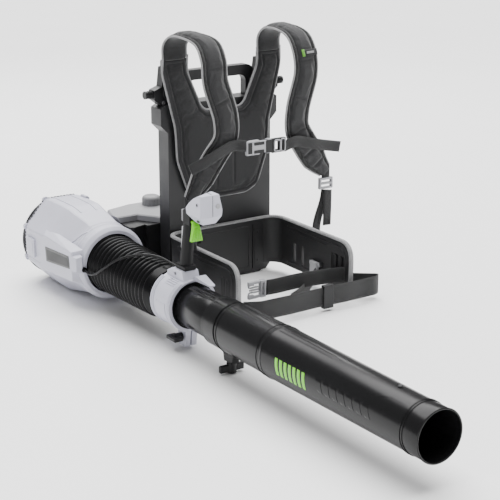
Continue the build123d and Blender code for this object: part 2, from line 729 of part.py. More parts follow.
def head_outline():
    return [(-408, 326), (-412, 348), (-434, 368), (-490, 382), (-502, 352), (-494, 322), (-474, 306.4), (-420, 306.4)]


def handle_head():
    """Faceted control head on top of the grip, hollow for the switches."""
    body = slab("x", *HEAD_X, head_outline())
    side = body.faces().sort_by(Axis.X)
    body = chamfer(side[0].edges() + side[-1].edges(), 7)
    inside = [(-422, 326), (-438, 355), (-482, 366), (-490, 346), (-484, 318), (-474, 314), (-426, 314)]
    body = body - slab("x", HEAD_X[0] + 8, HEAD_X[1] - 8, inside)
    body = body - block((HEAD_MID_X - 9, HEAD_MID_X + 9), (-476, -440), (300, 320))
    body = body - rod("x", (-452, 345), HEAD_X[0] - 1, HEAD_X[0] + 4, 3.2)
    body = body - rod("y", (HEAD_MID_X, TURBO_Z), -520, -470, BUTTON_R + 0.3)
    body = body - rod("x", TRIGGER_PIVOT, HEAD_MID_X - 12.1, HEAD_MID_X + 12.1, 2.02)
    return body - rod("x", LEVER_PIVOT, HEAD_X[1] - 12, HEAD_X[1] + 1, 4 + BORE_GAP)


def trigger():
    """Finger trigger hinged at its top, hanging in front of the grip."""
    outline = [(-443, 318), (-453, 318), (-467, 300), (-472, 268), (-463, 268), (-458, 290), (-453, 303), (-444, 308)]
    body = slab("x", HEAD_MID_X - 7, HEAD_MID_X + 7, outline)
    return body - rod("x", TRIGGER_PIVOT, HEAD_MID_X - 9, HEAD_MID_X + 9, 2 + BORE_GAP)


def trigger_pin():
    return rod("x", TRIGGER_PIVOT, HEAD_MID_X - 12, HEAD_MID_X + 12, 2)


def turbo_button():
    line = (HEAD_MID_X, TURBO_Z)
    return rod("y", line, -506, -480, BUTTON_R) + rod("y", line, -484, -480, BUTTON_R + 2)


def speed_lever():
    """Cruise lever on the side of the head."""
    y, z = LEVER_PIVOT
    stem = rod("x", LEVER_PIVOT, HEAD_X[1] - 11, HEAD_X[1] + 9, 4)
    outline = [(y + 6, z - 6), (y + 6, z + 6), (y - 28, z + 22), (y - 32, z + 14), (y - 6, z - 6)]
    return stem + slab("x", HEAD_X[1] + 1, HEAD_X[1] + 8, outline)


CABLE_ROUTE = [
    (-424, -72, 108), (-423, -94, 104), (-421, -122, 111), (-413, -158, 135), (-396, -192, 161), (-373, -226, 176),
    (-352, -268, 185), (-343, -312, 187), (-340, -346, 184), (-340, -376, 182),
]
CABLE_CUTS = (-72, -170, -200, -330, -353, -376)


def control_cable():
    radii = cord_radii(CABLE_ROUTE)
    print("control cable radii", [round(r, 1) for r in radii])
    path = FilletPolyline(*CABLE_ROUTE, radius=radii)
    start = Plane(path @ 0, z_dir=path % 0)
    body = sweep(start * Circle(CABLE_R), path=path)
    print("control cable volume share", round(body.volume / (pi * CABLE_R ** 2 * path.length), 4))
    return body


def cable_length(body, i):
    high, low = CABLE_CUTS[i], CABLE_CUTS[i + 1]
    return body & block((-480, -280), (low, high), (60, 240))


# ---------------------------------------------------------------- all parts

def all_parts():
    cable = control_cable()
    first, second, third, last = BELLOWS_CUTS
    parts = {
        "back_frame": back_frame(),
        "yoke_handle": yoke_handle(),
        "back_pad": back_pad(),
        "lumbar_plate": lumbar_plate(),
        "belt_clip_pins": belt_clip_pins(),
        "hip_webbing_front": hip_webbing_front(),
        "hip_webbing_inner": Compound([hip_webbing_upper(), hip_webbing_diagonal()]),
        "hip_buckle": hip_buckle(),
        "strap_keeper": strap_keeper(),
        "chest_strap_left": chest_strap_left(),
        "chest_strap_right": chest_strap_right(),
        "chest_buckle_female": chest_buckle_female(),
        "chest_buckle_male": chest_buckle_male(),
        "battery_dock": battery_dock(),
        "dock_shelf": dock_shelf(),
        "dock_terminal": dock_terminal(),
        "dock_latch": dock_latch(),
        "dock_feet": dock_feet(),
        "blower_bracket": blower_bracket(),
        "housing_upper": housing_half(True),
        "housing_lower": housing_half(False),
        "intake_grille": intake_grille(),
        "housing_front_ring": housing_front_ring(),
        "cable_grommet": cable_grommet(),
        "fan_duct": fan_duct(),
        "fan_rotor": fan_rotor(),
        "motor_shaft": motor_shaft(),
        "motor_stator": motor_stator(),
        "motor_bearings": motor_bearings(),
        "bellows_rear": bellows(first, second),
        "bellows_middle": bellows(second, third),
        "bellows_front": bellows(third, last, cuff=True),
        "inner_tube": inner_tube(),
        "outer_tube": outer_tube(),
        "collar_knob": collar_knob(),
        "nozzle": nozzle(),
        "clamp_liner": clamp_liner(),
        "clamp_ring": clamp_ring(),
        "clamp_knob": clamp_knob(),
        "handle_grip": grip(),
        "grip_strip": grip_strip(),
        "handle_head": handle_head(),
        "trigger": trigger(),
        "trigger_pin": trigger_pin(),
        "turbo_button": turbo_button(),
        "speed_lever": speed_lever(),
        "cable_rear": cable_length(cable, 0),
        "cable_middle": cable_length(cable, 1),
        "cable_front": cable_length(cable, 2),
        "cable_slide": cable_length(cable, 3),
        "cable_end": cable_length(cable, 4),
    }
    for side, word in ((1, "left"), (-1, "right")):
        parts[f"shoulder_pad_{word}"] = shoulder_pad(side)
        parts[f"hip_arm_{word}"] = hip_arm(side)
        parts[f"belt_clip_{word}"] = belt_clip(side)
    parts["hip_trim"] = hip_trim()
    parts["ladder_locks"] = Compound([ladder_lock(side) for side in (1, -1)])
    parts["shoulder_webbing"] = Compound([strand for side in (1, -1) for strand in shoulder_webbing(side)])
    return parts


def main():
    os.makedirs("parts", exist_ok=True)
    for name, shape in all_parts().items():
        export_step(shape, f"parts/{name}.step")


main()
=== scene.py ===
"""Looks of the backpack leaf blower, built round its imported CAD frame. Metres, +Z up, the wearer faces -Y."""

import json
import math
import random

import bmesh
import bpy
import numpy as np
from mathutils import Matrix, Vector


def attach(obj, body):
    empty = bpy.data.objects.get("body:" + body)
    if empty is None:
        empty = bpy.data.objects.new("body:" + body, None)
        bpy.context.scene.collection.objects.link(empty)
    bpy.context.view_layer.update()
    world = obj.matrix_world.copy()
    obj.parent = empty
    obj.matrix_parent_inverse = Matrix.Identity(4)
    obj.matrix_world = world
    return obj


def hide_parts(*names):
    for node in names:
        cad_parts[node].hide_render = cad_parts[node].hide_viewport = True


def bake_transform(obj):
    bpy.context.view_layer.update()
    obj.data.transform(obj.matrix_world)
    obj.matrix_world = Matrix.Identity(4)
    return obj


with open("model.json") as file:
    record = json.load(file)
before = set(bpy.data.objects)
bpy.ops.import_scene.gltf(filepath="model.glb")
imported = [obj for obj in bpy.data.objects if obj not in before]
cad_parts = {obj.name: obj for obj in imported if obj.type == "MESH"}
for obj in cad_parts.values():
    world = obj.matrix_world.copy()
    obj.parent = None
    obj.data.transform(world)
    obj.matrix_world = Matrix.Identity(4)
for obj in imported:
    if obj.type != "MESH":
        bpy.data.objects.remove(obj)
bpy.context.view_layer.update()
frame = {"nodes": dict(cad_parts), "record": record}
MM = 0.001
AXIS_X = -340
AXIS_Z = 109

BODY_OF = {node: body for body, members in frame["record"]["behaviour"]["bodies"].items() for node in members}
SLOT_OF = {row["node"]: row["material_slot"] for row in frame["record"]["subparts"]}


# ---------------------------------------------------------------- node materials

def add(tree, kind, inputs=None, **settings):
    """A shader node with its settings, its input values and its input links."""
    node = tree.nodes.new("ShaderNode" + kind)
    for key, value in settings.items():
        setattr(node, key, value)
    for key, value in (inputs or {}).items():
        if isinstance(value, bpy.types.NodeSocket):
            tree.links.new(value, node.inputs[key])
        else:
            node.inputs[key].default_value = value
    return node


def start_material(name, roughness, specular=0.5, **constants):
    """A material with its shader's plain sockets set."""
    mat = bpy.data.materials.new(name)
    mat.use_nodes = True
    tree = mat.node_tree
    shader = tree.nodes["Principled BSDF"]
    shader.inputs["Roughness"].default_value = roughness
    shader.inputs["Specular IOR Level"].default_value = specular
    for key, value in constants.items():
        shader.inputs[key].default_value = value
    return mat, tree, shader


def dress(tree, shader, colour, normal, gloss=None):
    """Feeds a colour, a normal and, where there is one, a gloss to the shader."""
    for socket, value in (("Base Color", colour), ("Normal", normal), ("Roughness", gloss)):
        if value is not None:
            tree.links.new(value, shader.inputs[socket])


def coordinates(tree, stretch=(1, 1, 1), source="Object"):
    place = add(tree, "TexCoord")
    return add(tree, "Mapping", {"Vector": place.outputs[source], "Scale": stretch}).outputs["Vector"]


def noise(tree, vector, scale, detail=2.0, rough=0.5):
    node = add(tree, "TexNoise", {"Vector": vector, "Scale": scale, "Detail": detail, "Roughness": rough})
    return node.outputs["Fac"]


def ramp(tree, value, low, high, dark, light):
    """A colour that runs from dark to light as value runs from low to high."""
    node = add(tree, "ValToRGB", {"Fac": value})
    node.color_ramp.elements[0].position = low
    node.color_ramp.elements[1].position = high
    node.color_ramp.elements[0].color = (*dark, 1)
    node.color_ramp.elements[1].color = (*light, 1)
    return node.outputs["Color"]


def spread(tree, value, low, high, out_low, out_high):
    node = add(tree, "MapRange", {0: value, 1: low, 2: high, 3: out_low, 4: out_high})
    return node.outputs[0]


def math_node(tree, operation, a, b=0.0):
    return add(tree, "Math", {0: a, 1: b}, operation=operation).outputs[0]


def multiply(tree, colour, tint):
    node = add(tree, "Mix", {0: 1.0, 6: colour, 7: tint}, data_type="RGBA", blend_type="MULTIPLY")
    return node.outputs[2]


def bump(tree, height, distance, strength, normal=None):
    inputs = {"Height": height, "Distance": distance, "Strength": strength}
    if normal is not None:
        inputs["Normal"] = normal
    return add(tree, "Bump", inputs).outputs["Normal"]


def shade(colour, factor):
    return tuple(c * factor for c in colour)


def plastic(name, colour, roughness, grain=0.00005, grain_scale=1400, mottle=0.06, flow=(1, 1, 1),
            **constants):
    """Moulded plastic: a fine spark-eroded grain, faint colour clouds and an uneven gloss."""
    mat, tree, shader = start_material(name, roughness, **constants)
    at = coordinates(tree)
    clouds = noise(tree, coordinates(tree, flow), 22, 3)
    tone = ramp(tree, clouds, 0.3, 0.7, shade(colour, 1 - mottle), shade(colour, 1 + mottle))
    speck = noise(tree, at, grain_scale, 2, 0.6)
    gloss = math_node(tree, "ADD", spread(tree, clouds, 0.3, 0.7, -0.05, 0.05), roughness)
    soft = bump(tree, noise(tree, at, 130, 2), 0.00012, 0.35)
    dress(tree, shader, tone, bump(tree, speck, grain, 0.6, soft), gloss)
    return mat


def tube_plastic(name, colour, roughness):
    """Glossy blow-moulded tube: long flow marks along the tube and fine scuffs round it."""
    mat, tree, shader = start_material(name, roughness, specular=0.24)
    long_marks = noise(tree, coordinates(tree, (1, 0.04, 1)), 90, 2)
    scuffs = noise(tree, coordinates(tree, (0.3, 1, 0.3)), 900, 2)
    tone = ramp(tree, long_marks, 0.25, 0.75, shade(colour, 0.88), shade(colour, 1.14))
    gloss = math_node(tree, "ADD", spread(tree, scuffs, 0.35, 0.7, -0.015, 0.02), roughness)
    dress(tree, shader, tone, bump(tree, long_marks, 0.00015, 0.12), gloss)
    return mat


def woven(name, colour, warp, weft, depth, sheen=0.25, edge=None):
    """Cloth with warp and weft ribs; u runs across and v along, in millimetres. Edge sets where painted shade
    darkens the selvedges.
    """
    mat, tree, shader = start_material(name, 0.85, **{"Sheen Weight": sheen, "Sheen Roughness": 0.45})
    at = coordinates(tree, source="UV")
    split = add(tree, "SeparateXYZ", {"Vector": at})
    across = math_node(tree, "SINE", math_node(tree, "MULTIPLY", split.outputs["X"], 2 * math.pi / warp))
    along = math_node(tree, "SINE", math_node(tree, "MULTIPLY", split.outputs["Y"], 2 * math.pi / weft))
    weave = math_node(tree, "MULTIPLY", across, along)
    fuzz = noise(tree, at, 1.6, 3, 0.7)
    height = math_node(tree, "ADD", weave, math_node(tree, "MULTIPLY", fuzz, 0.8))
    dirt = noise(tree, at, 0.05, 3)
    # Painted shade and highlight: the weave's colour is darker in its valleys and lighter on its crests,
    # following the bump's height.
    base = ramp(tree, height, 0.0, 1.0, shade(colour, 0.72), shade(colour, 1.2))
    worn = ramp(tree, dirt, 0.35, 0.7, (0.86, 0.86, 0.86), (1.1, 1.1, 1.1))
    tone = multiply(tree, base, worn)
    # Painted shade: the colour darkens towards the selvedges.
    if edge is not None:
        rim = math_node(tree, "ABSOLUTE", split.outputs["X"])
        inside = spread(tree, rim, edge - 2.5, edge - 1.5, 1.0, 0.55)
        shadow = add(tree, "CombineColor", {0: inside, 1: inside, 2: inside})
        tone = multiply(tree, tone, shadow.outputs[0])
    dress(tree, shader, tone, bump(tree, height, depth, 0.8))
    return mat


def mesh_cloth(name, colour, cell, depth):
    """Padded spacer cloth: a fine knit with small open cells over soft, uneven foam."""
    mat, tree, shader = start_material(name, 0.9, **{"Sheen Weight": 0.3, "Sheen Roughness": 0.5})
    at = coordinates(tree)
    cells = add(tree, "TexVoronoi", {"Vector": at, "Scale": 1000 / cell, "Randomness": 0.35})
    knit = cells.outputs["Distance"]
    fibres = noise(tree, at, 2600, 3, 0.7)
    clouds = noise(tree, at, 14, 4)
    # Painted shade and highlight: the knit is darker in the sunken lines between its cells and lighter on the
    # raised cells.
    base = ramp(tree, knit, 0.1, 0.6, shade(colour, 1.18), shade(colour, 0.62))
    fade = ramp(tree, clouds, 0.3, 0.75, (0.88, 0.88, 0.88), (1.12, 1.12, 1.12))
    soft = bump(tree, noise(tree, at, 60, 4), 0.0012, 0.35)
    cloth = bump(tree, knit, -depth, 0.7, soft)
    dress(tree, shader, multiply(tree, base, fade), bump(tree, fibres, 0.0001, 0.5, cloth))
    return mat


def metal(name, colour, roughness):
    mat, tree, shader = start_material(name, roughness, Metallic=1.0)
    brushed = noise(tree, coordinates(tree, (1, 0.08, 1)), 1500, 3)
    tone = ramp(tree, brushed, 0.3, 0.7, shade(colour, 0.85), colour)
    gloss = spread(tree, brushed, 0.3, 0.7, roughness - 0.06, roughness + 0.08)
    dress(tree, shader, tone, bump(tree, brushed, 0.00004, 0.4), gloss)
    return mat


BLACK = plastic("black plastic", (0.009, 0.009, 0.010), 0.42, specular=0.35)
FRAME_BLACK = plastic("frame plastic", (0.015, 0.015, 0.0165), 0.48, mottle=0.1)
ARM_BLACK = plastic("belt arm plastic", (0.015, 0.015, 0.016), 0.5, grain=0.0001, grain_scale=900,
                    mottle=0.1)
PLATE_GREY = plastic("name plate plastic", (0.035, 0.037, 0.035), 0.35)
DARK_GREY = plastic("dark grey plastic", (0.07, 0.07, 0.073), 0.5)
GREY = plastic("light grey plastic", (0.52, 0.52, 0.60), 0.42, grain=0.00006, mottle=0.025)
SHELF_GREY = plastic("shelf grey plastic", (0.25, 0.25, 0.26), 0.5, mottle=0.05)
LATCH_GREY = plastic("latch grey plastic", (0.2, 0.2, 0.205), 0.5)
BUCKLE_GREY = plastic("buckle plastic", (0.38, 0.38, 0.40), 0.35, mottle=0.03)
LEAF_GREEN = plastic("green plastic", (0.17, 0.62, 0.012), 0.32, mottle=0.05, **{"Subsurface Weight": 0.08})
TUBE = tube_plastic("tube plastic", (0.006, 0.006, 0.0065), 0.24)
RUBBER = plastic("bellows rubber", (0.0025, 0.0025, 0.003), 0.3, grain=0.00004, flow=(1, 0.2, 1),
                 specular=0.16)
GRIP = plastic("grip rubber", (0.005, 0.005, 0.0055), 0.55, grain=0.0002, grain_scale=620, specular=0.2)
CABLE = plastic("cable jacket", (0.004, 0.004, 0.0045), 0.3, specular=0.25)
PAD = mesh_cloth("pad cloth", (0.018, 0.018, 0.0195), 1.9, 0.0007)
BORDER = woven("border cloth", (0.007, 0.007, 0.0075), 1.4, 1.4, 0.0004)
WEB = woven("webbing", (0.016, 0.016, 0.017), 2.2, 1.6, 0.0005, edge=13.5)
WIDE_WEB = woven("wide webbing", (0.016, 0.016, 0.017), 2.2, 1.6, 0.0005, edge=24.5)
PIPING = woven("piping", (0.33, 0.33, 0.335), 1.8, 1.5, 0.0003, sheen=0.15)
BAR_THREAD = woven("bar tack thread", (0.006, 0.006, 0.006), 0.6, 0.8, 0.0001)
LABEL = woven("label", (0.012, 0.012, 0.013), 0.8, 0.8, 0.0001)
LABEL_GREEN = woven("label tab", (0.12, 0.38, 0.03), 0.8, 0.8, 0.0001)
THREAD = woven("thread", (0.010, 0.010, 0.0105), 0.6, 0.8, 0.0001)
STEEL = metal("steel", (0.55, 0.56, 0.58), 0.3)
COPPER = metal("stator", (0.20, 0.16, 0.13), 0.5)


# ---------------------------------------------------------------- mesh helpers

CREASE = 30
CORNERS = ((-1, -1), (1, -1), (1, 1), (-1, 1))


def unit(v):
    return v / max(np.linalg.norm(v), 1e-12)


def circle(count):
    """The cosine and the sine of evenly spaced angles, once round."""
    angles = [2 * math.pi * k / count for k in range(count)]
    return [(math.cos(t), math.sin(t)) for t in angles]


def lengths_along(points):
    return np.r_[0, np.cumsum(np.linalg.norm(np.diff(points, axis=0), axis=1))]


def sample(s, lengths, values):
    """The vector at length s of a route."""
    return np.array([np.interp(s, lengths, values[:, i]) for i in range(3)])


def on_axis(axis, level, a, b):
    """A point from its place along one axis and its two other coordinates."""
    return {"x": (level, a, b), "y": (a, level, b), "z": (a, b, level)}[axis]


def link(name, data):
    """A new object in the scene."""
    obj = bpy.data.objects.new(name, data)
    bpy.context.scene.collection.objects.link(obj)
    return obj


def curve(points, step):
    """Evenly spaced points, in millimetres, along a centripetal curve through the given points."""
    pts = [np.array(p, float) for p in points]
    pts = [2 * pts[0] - pts[1]] + pts + [2 * pts[-1] - pts[-2]]
    dense = []
    for p0, p1, p2, p3 in zip(pts, pts[1:], pts[2:], pts[3:]):
        t0 = 0.0
        t1 = t0 + np.linalg.norm(p1 - p0) ** 0.5
        t2 = t1 + np.linalg.norm(p2 - p1) ** 0.5
        t3 = t2 + np.linalg.norm(p3 - p2) ** 0.5
        for t in np.linspace(t1, t2, 24, endpoint=False):
            a1 = (t1 - t) / (t1 - t0) * p0 + (t - t0) / (t1 - t0) * p1
            a2 = (t2 - t) / (t2 - t1) * p1 + (t - t1) / (t2 - t1) * p2
            a3 = (t3 - t) / (t3 - t2) * p2 + (t - t2) / (t3 - t2) * p3
            b1 = (t2 - t) / (t2 - t0) * a1 + (t - t0) / (t2 - t0) * a2
            b2 = (t3 - t) / (t3 - t1) * a2 + (t - t1) / (t3 - t1) * a3
            dense.append((t2 - t) / (t2 - t1) * b1 + (t - t1) / (t2 - t1) * b2)
    dense.append(pts[-2])
    return even(dense, step)


def even(points, step):
    points = np.array(points, float)
    lengths = lengths_along(points)
    count = max(int(round(lengths[-1] / step)), 2)
    at = np.linspace(0, lengths[-1], count + 1)
    return np.stack([np.interp(at, lengths, points[:, i]) for i in range(3)], axis=1)


def rounded(points, radius, step, closed=False):
    """Evenly spaced points along straight runs joined by round corners."""
    pts = [np.array(p, float) for p in points]
    count = len(pts)
    out = [] if closed else [pts[0]]
    corners = range(count) if closed else range(1, count - 1)
    for i in corners:
        a, b, c = pts[i - 1], pts[i], pts[(i + 1) % count]
        d1, d2 = unit(a - b), unit(c - b)
        reach = min(radius, 0.45 * np.linalg.norm(a - b), 0.45 * np.linalg.norm(c - b))
        for t in np.linspace(0, 1, 9):
            out.append((1 - t) ** 2 * (b + d1 * reach) + 2 * t * (1 - t) * b + t * t * (b + d2 * reach))
    out.append(out[0] if closed else pts[-1])
    return even(out, step)


def frames(points, wide):
    """Along, across and outward directions at each point of a route; wide is where the width lies."""
    along = np.gradient(points, axis=0)
    along = along / np.linalg.norm(along, axis=1)[:, None]
    wide = np.broadcast_to(np.array(wide, float), along.shape)
    across = wide - along * np.sum(along * wide, axis=1)[:, None]
    across = across / np.linalg.norm(across, axis=1)[:, None]
    return along, across, np.cross(along, across)


def build(name, vertices, faces, material, uvs=None):
    """A mesh object from millimetre vertices; uvs holds one pair for each vertex."""
    mesh = bpy.data.meshes.new(name)
    mesh.from_pydata([tuple(v) for v in np.asarray(vertices, float) * MM], [], faces)
    if uvs is not None:
        layer = mesh.uv_layers.new(name="UVMap")
        index = np.zeros(len(mesh.loops), int)
        mesh.loops.foreach_get("vertex_index", index)
        layer.data.foreach_set("uv", np.asarray(uvs, float)[index].ravel())
    mesh.validate()
    for face in mesh.polygons:
        face.use_smooth = True
    mesh.materials.append(material)
    return link(name, mesh)


def face_out(obj, crease=None):
    """Turns every face outward; where crease is given, edges steeper than it stay sharp."""
    bm = bmesh.new()
    bm.from_mesh(obj.data)
    bmesh.ops.recalc_face_normals(bm, faces=bm.faces)
    for edge in bm.edges:
        if crease is not None and edge.calc_face_angle(0) > math.radians(crease):
            edge.smooth = False
    bm.to_mesh(obj.data)
    bm.free()
    return obj


def prism(name, vertices, material):
    """A solid between two outlines of equal length, given one after the other."""
    n = len(vertices) // 2
    faces = [tuple(range(n)), tuple(range(2 * n - 1, n - 1, -1))]
    faces += [(i, (i + 1) % n, n + (i + 1) % n, n + i) for i in range(n)]
    return face_out(build(name, vertices, faces, material, np.zeros((2 * n, 2))))


def loft(name, rings, material, uv_across=None, loop=False):
    """A skin over closed rings of equal length, capped or looped; v runs along it in millimetres."""
    rings = np.asarray(rings, float)
    rows, cols = rings.shape[:2]
    centres = rings.mean(axis=1)
    v = lengths_along(centres)
    if uv_across is None:
        uv_across = np.linspace(0, 1, cols)
    uvs = np.stack([np.tile(uv_across, rows), np.repeat(v, cols)], axis=1)
    faces = []
    for i in range(rows if loop else rows - 1):
        j = (i + 1) % rows
        for k in range(cols):
            m = (k + 1) % cols
            faces.append((i * cols + k, i * cols + m, j * cols + m, j * cols + k))
    if not loop:
        faces.append(tuple(reversed(range(cols))))
        faces.append(tuple(range((rows - 1) * cols, rows * cols)))
    return face_out(build(name, rings.reshape(-1, 3), faces, material, uvs))


def ribbon(name, points, width, thickness, wide, material):
    """Webbing: a thin strip with soft selvedges, its map in millimetres across and along."""
    _, across, out = frames(points, wide)
    half = np.broadcast_to(np.asarray(width, float) / 2, (len(points),))
    t = thickness / 2
    section = [(-1, 0), (-0.97, 1), (-0.5, 1.12), (0, 1), (0.5, 1.12), (0.97, 1),
               (1, 0), (0.97, -1), (0.5, -1.12), (0, -1), (-0.5, -1.12), (-0.97, -1)]
    rings = [[p + a * u * h + o * w * t for u, w in section]
             for p, a, o, h in zip(points, across, out, half)]
    return loft(name, rings, material, [u * float(np.mean(half)) for u, w in section])


def round_cord(name, points, radius, material, sides=10, loop=False):
    """A cord of round section along a route; its sides are carried along without a twist."""
    points = np.asarray(points, float)
    if loop:
        ends = np.roll(points, -1, axis=0) - np.roll(points, 1, axis=0)
    else:
        ends = np.gradient(points, axis=0)
    along = ends / np.linalg.norm(ends, axis=1)[:, None]
    side = np.cross(along[0], (0.31, 0.52, 0.79))
    rings = []
    for p, a in zip(points, along):
        side = unit(side - a * np.dot(side, a))
        up = np.cross(a, side)
        rings.append([p + radius * (side * c + up * s) for c, s in circle(sides)])
    width = 2 * math.pi * radius
    return loft(name, rings, material, [width * k / sides for k in range(sides)], loop=loop)


def stitches(name, lines, material, pitch=5.0, length=3.2, radius=0.45):
    """Thread: small beads laid along lines of (points, outward directions)."""
    vertices, faces = [], []
    for points, outs in lines:
        points = np.asarray(points, float)
        lengths = lengths_along(points)
        for at in np.arange(pitch / 2, lengths[-1], pitch):
            centre = sample(at, lengths, points)
            out = unit(sample(at, lengths, np.asarray(outs)))
            along = unit(sample(at + 1, lengths, points) - sample(at - 1, lengths, points))
            side = unit(np.cross(along, out))
            base = len(vertices)
            vertices += [centre - along * length / 2, centre + along * length / 2]
            for shift in (-0.25, 0.25):
                middle = centre + along * length * shift
                vertices += [middle + radius * (side * c + out * s) for c, s in circle(6)]
            near, far = base + 2, base + 8
            for k in range(6):
                m = (k + 1) % 6
                faces += [(base, near + m, near + k), (near + k, near + m, far + m, far + k),
                          (base + 1, far + k, far + m)]
    return build(name, vertices, faces, material, np.zeros((len(vertices), 2)))


def modify(obj, kind, **settings):
    modifier = obj.modifiers.new(kind.title(), kind)
    for key, value in settings.items():
        setattr(modifier, key, value)


def evaluated(obj):
    """A new mesh: obj as its modifiers leave it."""
    return bpy.data.meshes.new_from_object(obj.evaluated_get(bpy.context.evaluated_depsgraph_get()))


def freeze(obj):
    """Applies every modifier of obj to its mesh."""
    bpy.context.view_layer.update()
    done = evaluated(obj)
    obj.modifiers.clear()
    obj.data = done
    for face in done.polygons:
        face.use_smooth = True


def soften(obj, width, segments, angle):
    """Rounds every edge steeper than angle degrees."""
    modify(obj, "BEVEL", width=width * MM, segments=segments, limit_method="ANGLE",
           angle_limit=math.radians(angle), harden_normals=False)
    modify(obj, "WEIGHTED_NORMAL", keep_sharp=True)


def hull(name, points, material, bevel):
    """A faceted body: the convex hull of a few corners, with soft edges."""
    bm = bmesh.new()
    for point in points:
        bm.verts.new([c * MM for c in point])
    bmesh.ops.convex_hull(bm, input=bm.verts[:])
    bmesh.ops.dissolve_limit(bm, angle_limit=math.radians(1.5), verts=bm.verts[:], edges=bm.edges[:])
    bmesh.ops.recalc_face_normals(bm, faces=bm.faces)
    mesh = bpy.data.meshes.new(name)
    bm.to_mesh(mesh)
    bm.free()
    mesh.materials.append(material)
    obj = link(name, mesh)
    soften(obj, bevel, 2, 6)
    return obj


def plate(name, axis, at, outline, depth, material, bevel=0.6):
    """A thin plate: its outline in the two other coordinates, from at to at + depth along one axis."""
    vertices = [on_axis(axis, level, a, b) for level in (at, at + depth) for a, b in outline]
    obj = prism(name, vertices, material)
    soften(obj, bevel, 2, CREASE)
    return obj


def turned_about(axis, centre, profile, material, name, segments=24):
    """A solid turned about a line: the profile holds (radius, place along the line)."""
    a, b = centre
    rings = []
    for radius, level in profile:
        r = max(radius, 0.01)
        rings.append([on_axis(axis, level, a + r * c, b + r * s) for c, s in circle(segments)])
    return loft(name, rings, material)


def hard_part(node, material, bevel):
    """A finished copy of a rigid CAD node: flat faces joined up, every edge rounded, then its material."""
    mesh = frame["nodes"][node].data.copy()
    bm = bmesh.new()
    bm.from_mesh(mesh)
    bmesh.ops.remove_doubles(bm, verts=bm.verts, dist=2e-6)
    bmesh.ops.dissolve_limit(bm, angle_limit=math.radians(0.6), verts=bm.verts, edges=bm.edges,
                             use_dissolve_boundaries=False)
    for face in bm.faces:
        face.smooth = True
    for edge in bm.edges:
        if len(edge.link_faces) == 2 and edge.calc_face_angle(0) > math.radians(CREASE):
            edge.smooth = False
    bm.to_mesh(mesh)
    bm.free()
    mesh.materials.clear()
    mesh.materials.append(material)
    obj = link(node + "_shell", mesh)
    soften(obj, bevel, 2, CREASE)
    return settle(obj, BODY_OF[node], SLOT_OF[node], node)


def settle(obj, body, slot_name, *stands_for):
    """Puts a piece on its body, in place of the CAD nodes it stands for. Its slot name is not used."""
    if stands_for:
        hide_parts(*stands_for)
    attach(obj, body)
    return obj


def reshape(obj, change):
    """Moves the points of a finished piece: change(x, y, z) in millimetres gives each new place."""
    for vertex in obj.data.vertices:
        x, y, z = (c / MM for c in vertex.co)
        vertex.co = [c * MM for c in change(x, y, z)]


def slim_tail(x, y, z):
    """The clamp's tongue, drawn in to a narrow strip just over the tube."""
    if y > -443 or z < 140:
        return x, y, z
    return -324 + (x + 320) * 0.5, y, 166.4 + max(z - 166, 0) * 0.45


def slim_collar(x, y, z):
    """The grip's foot, drawn in to the width of the grip."""
    if z > 200:
        return x, y, z
    return -340 + (x + 340) * 0.84, y, z


def short_strip(x, y, z):
    return x, y, min(z, 286)


# ---------------------------------------------------------------- shoulder straps

STRAP_W = 72
STRAP_TIP = 62
TIP_HALF = 17
RAISED = 0.66
LIMB_TOP = 596
STEP = 5.0


def strap_route(side):
    back_x, crest_x, front_x, chest_x = (-141, -136, -125, -98) if side < 0 else (138, 139, 141, 115)
    lower = [(-126, -198, 375), (-170, -190, 306), (-192, -186, 272)]
    if side > 0:
        lower = [(136, -200, 385), (186, -190, 324), (220, -184, 292)]
    top = [
        (back_x, -38, LIMB_TOP - 4), (back_x, -39, 630), (crest_x, -60, 654), (crest_x, -112, 661),
        (front_x, -166, 647), (front_x, -195, 610), (front_x, -203, 560), (chest_x, -206, 470),
        (chest_x, -204, 420),
    ]
    return top + lower


def strap_half_width(s, total):
    """Half the strap's width at s along it: it tapers over its last part."""
    left = total - s
    half = STRAP_W / 2 - 2.5
    if left < STRAP_TIP:
        half = TIP_HALF + (half - TIP_HALF) * max(left, 0) / STRAP_TIP
    return half


def strap_section(side):
    """Points of the strap's section as (across from -1 to 1, out): a border each side of a raised middle."""
    outer = []
    for u in np.linspace(-1, 1, 33):
        a = abs(u)
        border = 3.4 * math.sqrt(max(1 - a ** 22, 0))
        middle = 3.6 * (1 - (a / RAISED) ** 4) ** 0.5 if a < RAISED else 0
        groove = 2.3 * math.exp(-((a - 0.69) / 0.04) ** 2)
        outer.append((u, border + middle - groove))
    inner = []
    for u in np.linspace(1, -1, 21)[1:-1]:
        a = abs(u)
        inner.append((u, -6.2 * (1 - a ** 4) ** 0.5))
    return outer, inner


CLOTH_FRAMES = 14
CROSS_SEAMS = {-1: (250, 330, 412, 500, 540), 1: (250, 345, 430, 500, 545)}


def dip(s, seams, half_width):
    return sum(math.exp(-((s - seam) / half_width) ** 2) for seam in seams)


